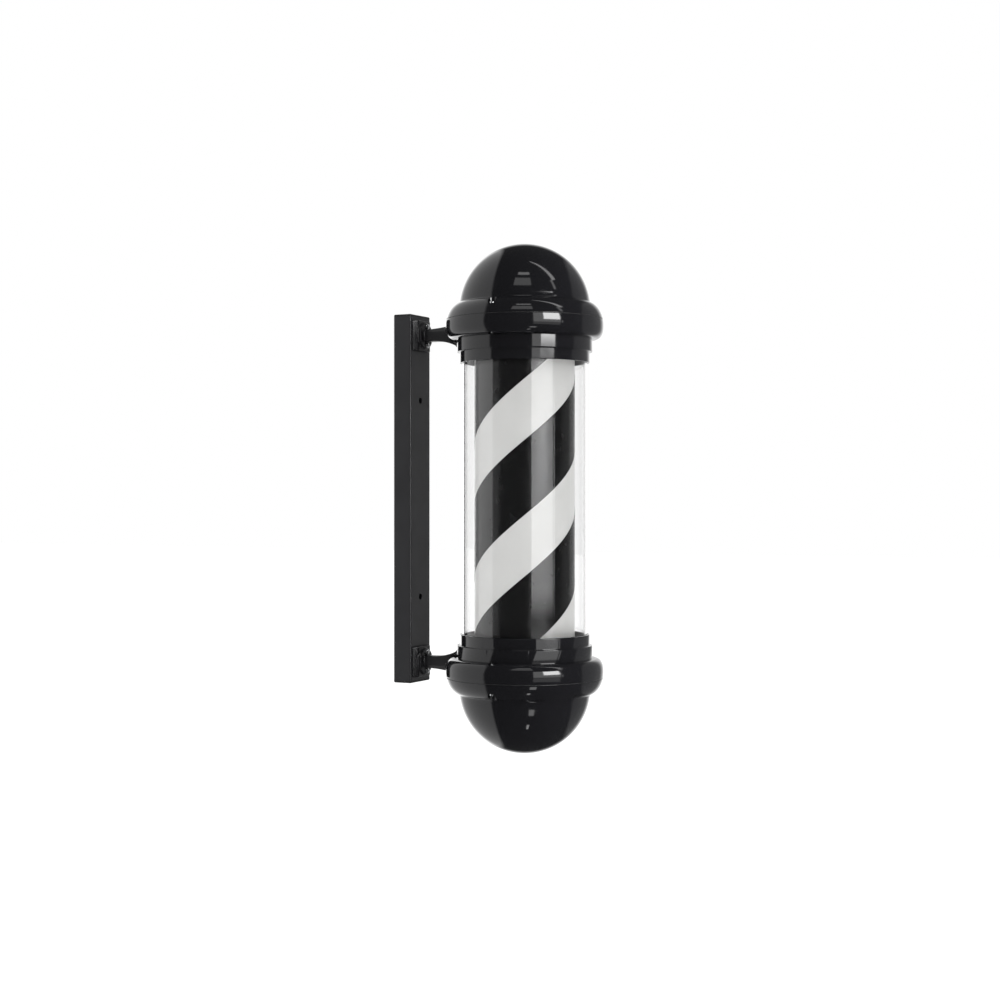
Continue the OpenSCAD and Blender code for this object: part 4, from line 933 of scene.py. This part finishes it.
class POLE_OT_cover_bolts(bpy.types.Operator):
    """Through bolts of the covers with their hexagon nuts"""
    bl_idname = "pole.cover_bolts"
    bl_label = "Cover Bolts"

    def execute(self, context):
        bolt = pan_head("cover_bolt", HEAD_FLOOR - NUT_FLOOR + NUT_H + BOLT_PAST_NUT)
        nut = rod("cover_nut", (0, 0, -NUT_H), (0, 0, 0), NUT_ACROSS / math.sqrt(3), 6)
        soften(nut, 0.35 * MM, 2, 40)
        reach = 5 * MM
        carve(nut, rod("cut", (0, 0, -reach), (0, 0, reach), SHANK_R + THREAD_GAP, 32))
        smooth(nut, 25)
        # Radians to a metre of x, so that no two bolts stand alike
        turn_rate = 900
        bolts, nuts = [], []
        for side in (-1, 1):
            flip = Matrix.Identity(4) if side > 0 else Matrix.Rotation(math.pi, 4, "X")
            for x in (-BOLT_X, BOLT_X):
                turn = flip @ Matrix.Rotation(x * turn_rate, 4, "Z")
                head, seat = [Matrix.Translation((x, AXIS_Y, side * (CAP_END + floor)))
                              for floor in (HEAD_FLOOR, NUT_FLOOR)]
                bolts.append(copied(bolt, "bolt_copy", head @ turn))
                nuts.append(copied(nut, "nut_copy", seat @ turn))
        bpy.data.objects.remove(bolt)
        bpy.data.objects.remove(nut)
        done(joined("cover_bolt_set", bolts), "frame", "chrome", "cover_bolts")
        done(joined("cover_nut_set", nuts), "frame", "chrome", "cover_nuts")
        return {"FINISHED"}


class POLE_OT_caps(bpy.types.Operator):
    """Housings and domed covers, lathed, with columns and pockets for the cover bolts"""
    bl_idname = "pole.caps"
    bl_label = "Caps"

    def execute(self, context):
        floor = BAND_MID - LOW_B + sizes().cap_wall
        inside = capped([(LEDGE_R, floor - 2 * MM)] + low_arc(0.5 * MM, 84, 0, 14)
                        + up_arc(0.5 * MM, 4, 84, 20) + [(LEDGE_R, BAND_END - 0.6 * MM)])
        housing = lathe("housing_upper", capped(housing_outline()))
        cover = lathe("cover_upper", capped(cover_outline()))
        for x in (-BOLT_X, BOLT_X):
            for shell, low, high in ((housing, floor - MM, SEAM_Z), (cover, SEAM_Z + SEAL, BAND_END)):
                column = self.upright("column", x, low, high, COLUMN_R)
                carve(column, lathe("limit", inside, steps=96), "INTERSECT")
                carve(shell, column, "UNION")
            carve(housing, self.upright("cut", x, UNDER_Z + 0.02 * MM, NUT_FLOOR, POCKET_R))
            carve(cover, self.upright("cut", x, HEAD_FLOOR, BAND_END + 5 * MM, POCKET_R))
            for shell in (housing, cover):
                carve(shell, self.upright("cut", x, UNDER_Z, HEAD_FLOOR + MM, BOLT_HOLE_R))
        inner_y, outer_y = AXIS_Y + LEDGE_R, AXIS_Y + BAND_R + POCKET_R
        carve(housing, rod("cut", (0, inner_y, ARM_Z), (0, outer_y, ARM_Z), LEAD_HOLE_R))
        for shell in (housing, cover):
            smooth(shell, 30)
        lower_housing = copied(housing, "housing_lower", MIRROR_Z)
        lower_cover = copied(cover, "cover_lower", MIRROR_Z)
        for shell, node in ((housing, "housing_top"), (cover, "cover_top"), (lower_housing, "housing_bottom"),
                            (lower_cover, "cover_bottom")):
            done(shell, "frame", "cap_gloss", node)
        return {"FINISHED"}

    def upright(self, name, x, low, high, radius):
        """An upright rod beside the axis, between two heights over the collar's end."""
        return rod(name, (x, AXIS_Y, CAP_END + low), (x, AXIS_Y, CAP_END + high), radius)


class POLE_OT_tube(bpy.types.Operator):
    """Clear tube with softly broken end edges"""
    bl_idname = "pole.tube"
    bl_label = "Clear Tube"

    def execute(self, context):
        tube = sleeve("clear_tube_wall", TUBE_R, sizes().tube_wall, TUBE_LOW.z, TUBE_HIGH.z, 0.4 * MM)
        done(tube, "frame", "clear_plastic", "clear_tube")
        return {"FINISHED"}


class POLE_OT_drum(bpy.types.Operator):
    """White drum shell"""
    bl_idname = "pole.drum"
    bl_label = "Drum"

    def execute(self, context):
        shell = sleeve("drum_wall", DRUM_R, sizes().drum_wall, DRUM_LOW.z, DRUM_HIGH.z, 0.3 * MM)
        done(shell, "drum", "drum_white", "drum_shell")
        return {"FINISHED"}


class POLE_OT_stripes(bpy.types.Operator):
    """Two black film stripes that climb to the right round the drum"""
    bl_idname = "pole.stripes"
    bl_label = "Stripes"

    def execute(self, context):
        glue = 0.05 * MM
        radius = DRUM_R + glue
        span = math.pi * sizes().stripe_share
        strips = []
        for k in range(2):
            bpy.ops.object.select_all(action="DESELECT")
            bpy.ops.mesh.primitive_grid_add(x_subdivisions=28, y_subdivisions=150, size=1, location=(0, 0, 0))
            strip = named("stripe")
            middle = sizes().stripe_turn + math.pi / 2 + math.pi * k
            for vertex in strip.data.vertices:
                z = vertex.co.y * DRUM_H
                turn = middle + vertex.co.x * span + 2 * math.pi * z / sizes().stripe_lead
                vertex.co = (radius * math.cos(turn), AXIS_Y + radius * math.sin(turn), z)
            modifier(strip, "SOLIDIFY", thickness=sizes().film, offset=1, use_even_offset=True)
            strips.append(strip)
        stripes = joined("stripe_film", strips)
        smooth(stripes, 40)
        done(stripes, "drum", "stripe_black", "black_stripes")
        return {"FINISHED"}


class POLE_OT_inner_finishes(bpy.types.Operator):
    """Finishes of the parts that keep the frame's own solids: drive, bearing, lamp, seals and wiring"""
    bl_idname = "pole.inner_finishes"
    bl_label = "Inner Finishes"

    def execute(self, context):
        slots = {part["node"]: part["material_slot"] for part in frame["record"]["subparts"]}
        for node, obj in frame["nodes"].items():
            set_material(obj, finish_of(slots[node]))
        return {"FINISHED"}


# Stage: floor, light and camera

CAMERA_TURN = math.radians(-154.0)
CAMERA_FAR = 2.4
PIXEL = 1.378 * MM
AXIS_PIXEL = (524.6, 498.6)
SENSOR = 36.0
FRAME_SIDE = 1000
TOWARDS = Vector((math.cos(CAMERA_TURN), math.sin(CAMERA_TURN), 0))
RIGHT = Vector((-TOWARDS.y, TOWARDS.x, 0))
POLE_MIDDLE = Vector((0, AXIS_Y, 0))
FLOOR_Z = -1.1
FLOOR_SIDE = 60

# Bright panes of the room that the caps mirror: left and right edge as turns from the camera to its right,
# low and high edge as climbs, all in degrees, and brightness
PANES = (
    # The window: its glow, its sill, the bright pane, and the gap beside its frame
    (12, 54, -4, 26, 1.9), (12, 54, -16, -4, 0.7), (27, 53, 4.5, 25, 14), (55, 57.5, -4, 4, 2.4),
    # Two ceiling lights over the camera, and two tall ones at the right
    (-23, 14, 37, 52, 1.2), (-19, 14, 57, 63, 2.6), (57, 63, 28, 44, 1.9), (62, 72, 42, 84, 3.6),
    # Light that comes up from the floor
    (6, 15, -72, -62, 4), (8, 20, -45, -33, 2.5),
)

# Pale walls of the room: side (-1 left, 1 right), where the wall begins across the view, how far its edge
# leans with height and with nearness to the camera, softness of the edge, and brightness
WALLS = ((-1, 0.613, -0.083, 0.508, 0.05, 0.85), (1, 0.99, 0.0, 0.85, 0.06, 0.26))


def softbox(name, azimuth, height, distance, width, tall, power):
    """An area lamp aimed at the pole, not seen in any reflection. Azimuth is counted from the camera, to its
    right, in degrees, and power is in watts."""
    turn = math.radians(azimuth)
    place = POLE_MIDDLE + (TOWARDS * math.cos(turn) + RIGHT * math.sin(turn)) * distance
    place.z = height
    lamp = bpy.data.lights.new(name, "AREA")
    lamp.shape = "RECTANGLE"
    lamp.size = width
    lamp.size_y = tall
    lamp.energy = power
    obj = bpy.data.objects.new(name, lamp)
    bpy.context.scene.collection.objects.link(obj)
    obj.location = place
    obj.rotation_euler = (POLE_MIDDLE - place).to_track_quat("-Z", "Y").to_euler()
    obj.visible_camera = False
    obj.visible_glossy = False
    obj.visible_transmission = False


def ray_kinds(tree):
    """Two switches: rays that the camera sees straight or through the clear tube, and mirrored rays.
    A ray that the tube refracts counts as glossy too, so the depths tell the two kinds apart."""
    path = add_node(tree, "LightPath").outputs
    unmirrored = add_node(tree, "Math", [path["Glossy Depth"], 0.5], operation="LESS_THAN")
    bounced = add_node(tree, "Math", [path["Glossy Depth"], 0.5], operation="GREATER_THAN")
    unscattered = add_node(tree, "Math", [path["Diffuse Depth"], 0.5], operation="LESS_THAN")
    straight = add_node(tree, "Math", [unmirrored, unscattered], operation="MULTIPLY")
    through = add_node(tree, "Math", [straight, path["Is Transmission Ray"]], operation="MULTIPLY")
    seen = add_node(tree, "Math", [path["Is Camera Ray"], through], operation="MAXIMUM")
    mirrored = add_node(tree, "Math", [bounced, unscattered], operation="MULTIPLY")
    return seen, mirrored


def room_world():
    """White for the camera and through the clear tube. In reflections, a dim room with two pale walls."""
    world = bpy.data.worlds.new("studio")
    bpy.context.scene.world = world
    world.use_nodes = True
    tree = world.node_tree
    tree.nodes.clear()
    direction = add_node(tree, "TexCoord").outputs["Generated"]

    def along(axis):
        return add_node(tree, "VectorMath", [direction, axis], operation="DOT_PRODUCT").outputs["Value"]

    def share(value, start, span):
        """0 before the start and 1 past the span. A negative span counts downwards."""
        return add_node(tree, "Math", [value, 1 / span, -start / span], operation="MULTIPLY_ADD",
                        use_clamp=True)

    across, facing, upwards = along(RIGHT), along(TOWARDS), along((0, 0, 1))
    height = add_node(tree, "Math", [upwards], operation="ABSOLUTE")
    turn = add_node(tree, "Math", [across, facing], operation="ARCTAN2")
    climb = add_node(tree, "Math", [upwards], operation="ARCSINE")

    def pane(left, right, low, high, value):
        soft = math.radians(1)
        inside = value
        for place, edge, side in ((turn, left, 1), (turn, right, -1), (climb, low, 1), (climb, high, -1)):
            past = share(place, math.radians(edge), side * soft)
            inside = add_node(tree, "Math", [past, inside], operation="MULTIPLY")
        return inside

    def wall(side, start, lean, nearness, soft, value):
        past = add_node(tree, "Math", [height, -lean, along(RIGHT * side - TOWARDS * nearness)],
                        operation="MULTIPLY_ADD")
        return add_node(tree, "Math", [share(past, start, soft), value], operation="MULTIPLY")

    dimmest = 0.05
    behind_pole = share(facing, -0.8, -0.15)
    glow = add_node(tree, "Math", [behind_pole, dimmest])
    for light in [wall(*part) for part in WALLS] + [pane(*part) for part in PANES]:
        glow = add_node(tree, "Math", [glow, light])
    # Light on matt surfaces, a little stronger from the right
    ambient = add_node(tree, "Math", [across, 0.1, 1.4], operation="MULTIPLY_ADD")
    seen, mirrored = ray_kinds(tree)
    room, plain, white = [add_node(tree, "Background", [WHITE, value]) for value in (glow, ambient, 1.0)]
    unseen = add_node(tree, "MixShader", [mirrored, plain, room])
    add_node(tree, "OutputWorld", {"Surface": add_node(tree, "MixShader", [seen, unseen, white])})


def pale_floor():
    """Pale matt studio floor: nearly white for the camera, with the object's soft shadow. Mirrored rays pass
    through it."""
    material, tree = new_material("pale_floor")
    matt = add_node(tree, "BsdfDiffuse", {"Color": (0.86, 0.86, 0.86, 1)})
    lit = add_node(tree, "Emission", {"Color": WHITE, "Strength": 1.16})
    seen, mirrored = ray_kinds(tree)
    lit_share = add_node(tree, "Math", [seen, 0.7], operation="MULTIPLY")
    mix = add_node(tree, "MixShader", [lit_share, matt, lit])
    surface = add_node(tree, "MixShader", [mirrored, mix, add_node(tree, "BsdfTransparent")])
    add_node(tree, "OutputMaterial", {"Surface": surface})
    return material


class POLE_OT_stage(bpy.types.Operator):
    """Floor, studio light and the camera at the photograph's angle"""
    bl_idname = "pole.stage"
    bl_label = "Stage"

    def execute(self, context):
        scene = context.scene
        scene.view_settings.view_transform = "Standard"
        bpy.ops.object.select_all(action="DESELECT")
        bpy.ops.mesh.primitive_plane_add(size=FLOOR_SIDE, location=(0, 0, FLOOR_Z))
        floor = named("studio_floor")
        set_material(floor, pale_floor())
        floor.visible_glossy = False
        room_world()
        softbox("key_window", 40, 2.1, 3.2, 0.9, 1.1, 30)
        softbox("right_wall", 75, 0.3, 2.6, 1.2, 1.6, 100)

        data = bpy.data.cameras.new("photo_camera")
        data.sensor_width = SENSOR
        data.lens = SENSOR * CAMERA_FAR / (FRAME_SIDE * PIXEL)
        data.clip_end = 100
        camera = bpy.data.objects.new("photo_camera", data)
        scene.collection.objects.link(camera)
        camera.location = POLE_MIDDLE + TOWARDS * CAMERA_FAR
        off, down = [(pixel - FRAME_SIDE / 2) * PIXEL for pixel in AXIS_PIXEL]
        aim = POLE_MIDDLE - RIGHT * off + Vector((0, 0, down)) - camera.location
        camera.rotation_euler = aim.to_track_quat("-Z", "Y").to_euler()
        scene.camera = camera
        return {"FINISHED"}


OPERATORS = (
    POLE_OT_stage, POLE_OT_inner_finishes, POLE_OT_bar, POLE_OT_plugs, POLE_OT_grommet, POLE_OT_arms,
    POLE_OT_foot_screws, POLE_OT_caps, POLE_OT_cover_bolts, POLE_OT_tube, POLE_OT_drum, POLE_OT_stripes,
)


class VIEW3D_PT_pole(bpy.types.Panel):
    """Panel with a button for each piece"""
    bl_label = "Barber Pole"
    bl_idname = "VIEW3D_PT_pole"
    bl_space_type = "VIEW_3D"
    bl_region_type = "UI"
    bl_category = "Barber Pole"

    def draw(self, context):
        for operator in OPERATORS:
            self.layout.operator(operator.bl_idname)
        for group in (sizes(), colours()):
            box = self.layout.box()
            for name in group.__annotations__:
                box.prop(group, name)


CLASSES = (PoleSizes, PoleColours) + OPERATORS + (VIEW3D_PT_pole,)


def register():
    for cls in CLASSES:
        bpy.utils.register_class(cls)
    bpy.types.Scene.pole_sizes = PointerProperty(type=PoleSizes)
    bpy.types.Scene.pole_colours = PointerProperty(type=PoleColours)


def unregister():
    del bpy.types.Scene.pole_colours
    del bpy.types.Scene.pole_sizes
    for cls in reversed(CLASSES):
        bpy.utils.unregister_class(cls)


def main():
    register()
    for operator in OPERATORS:
        group, name = operator.bl_idname.split(".")
        result = getattr(getattr(bpy.ops, group), name)()
        if result != {"FINISHED"}:
            raise RuntimeError(f"{operator.bl_label} did not finish")


if __name__ == "__main__":
    main()
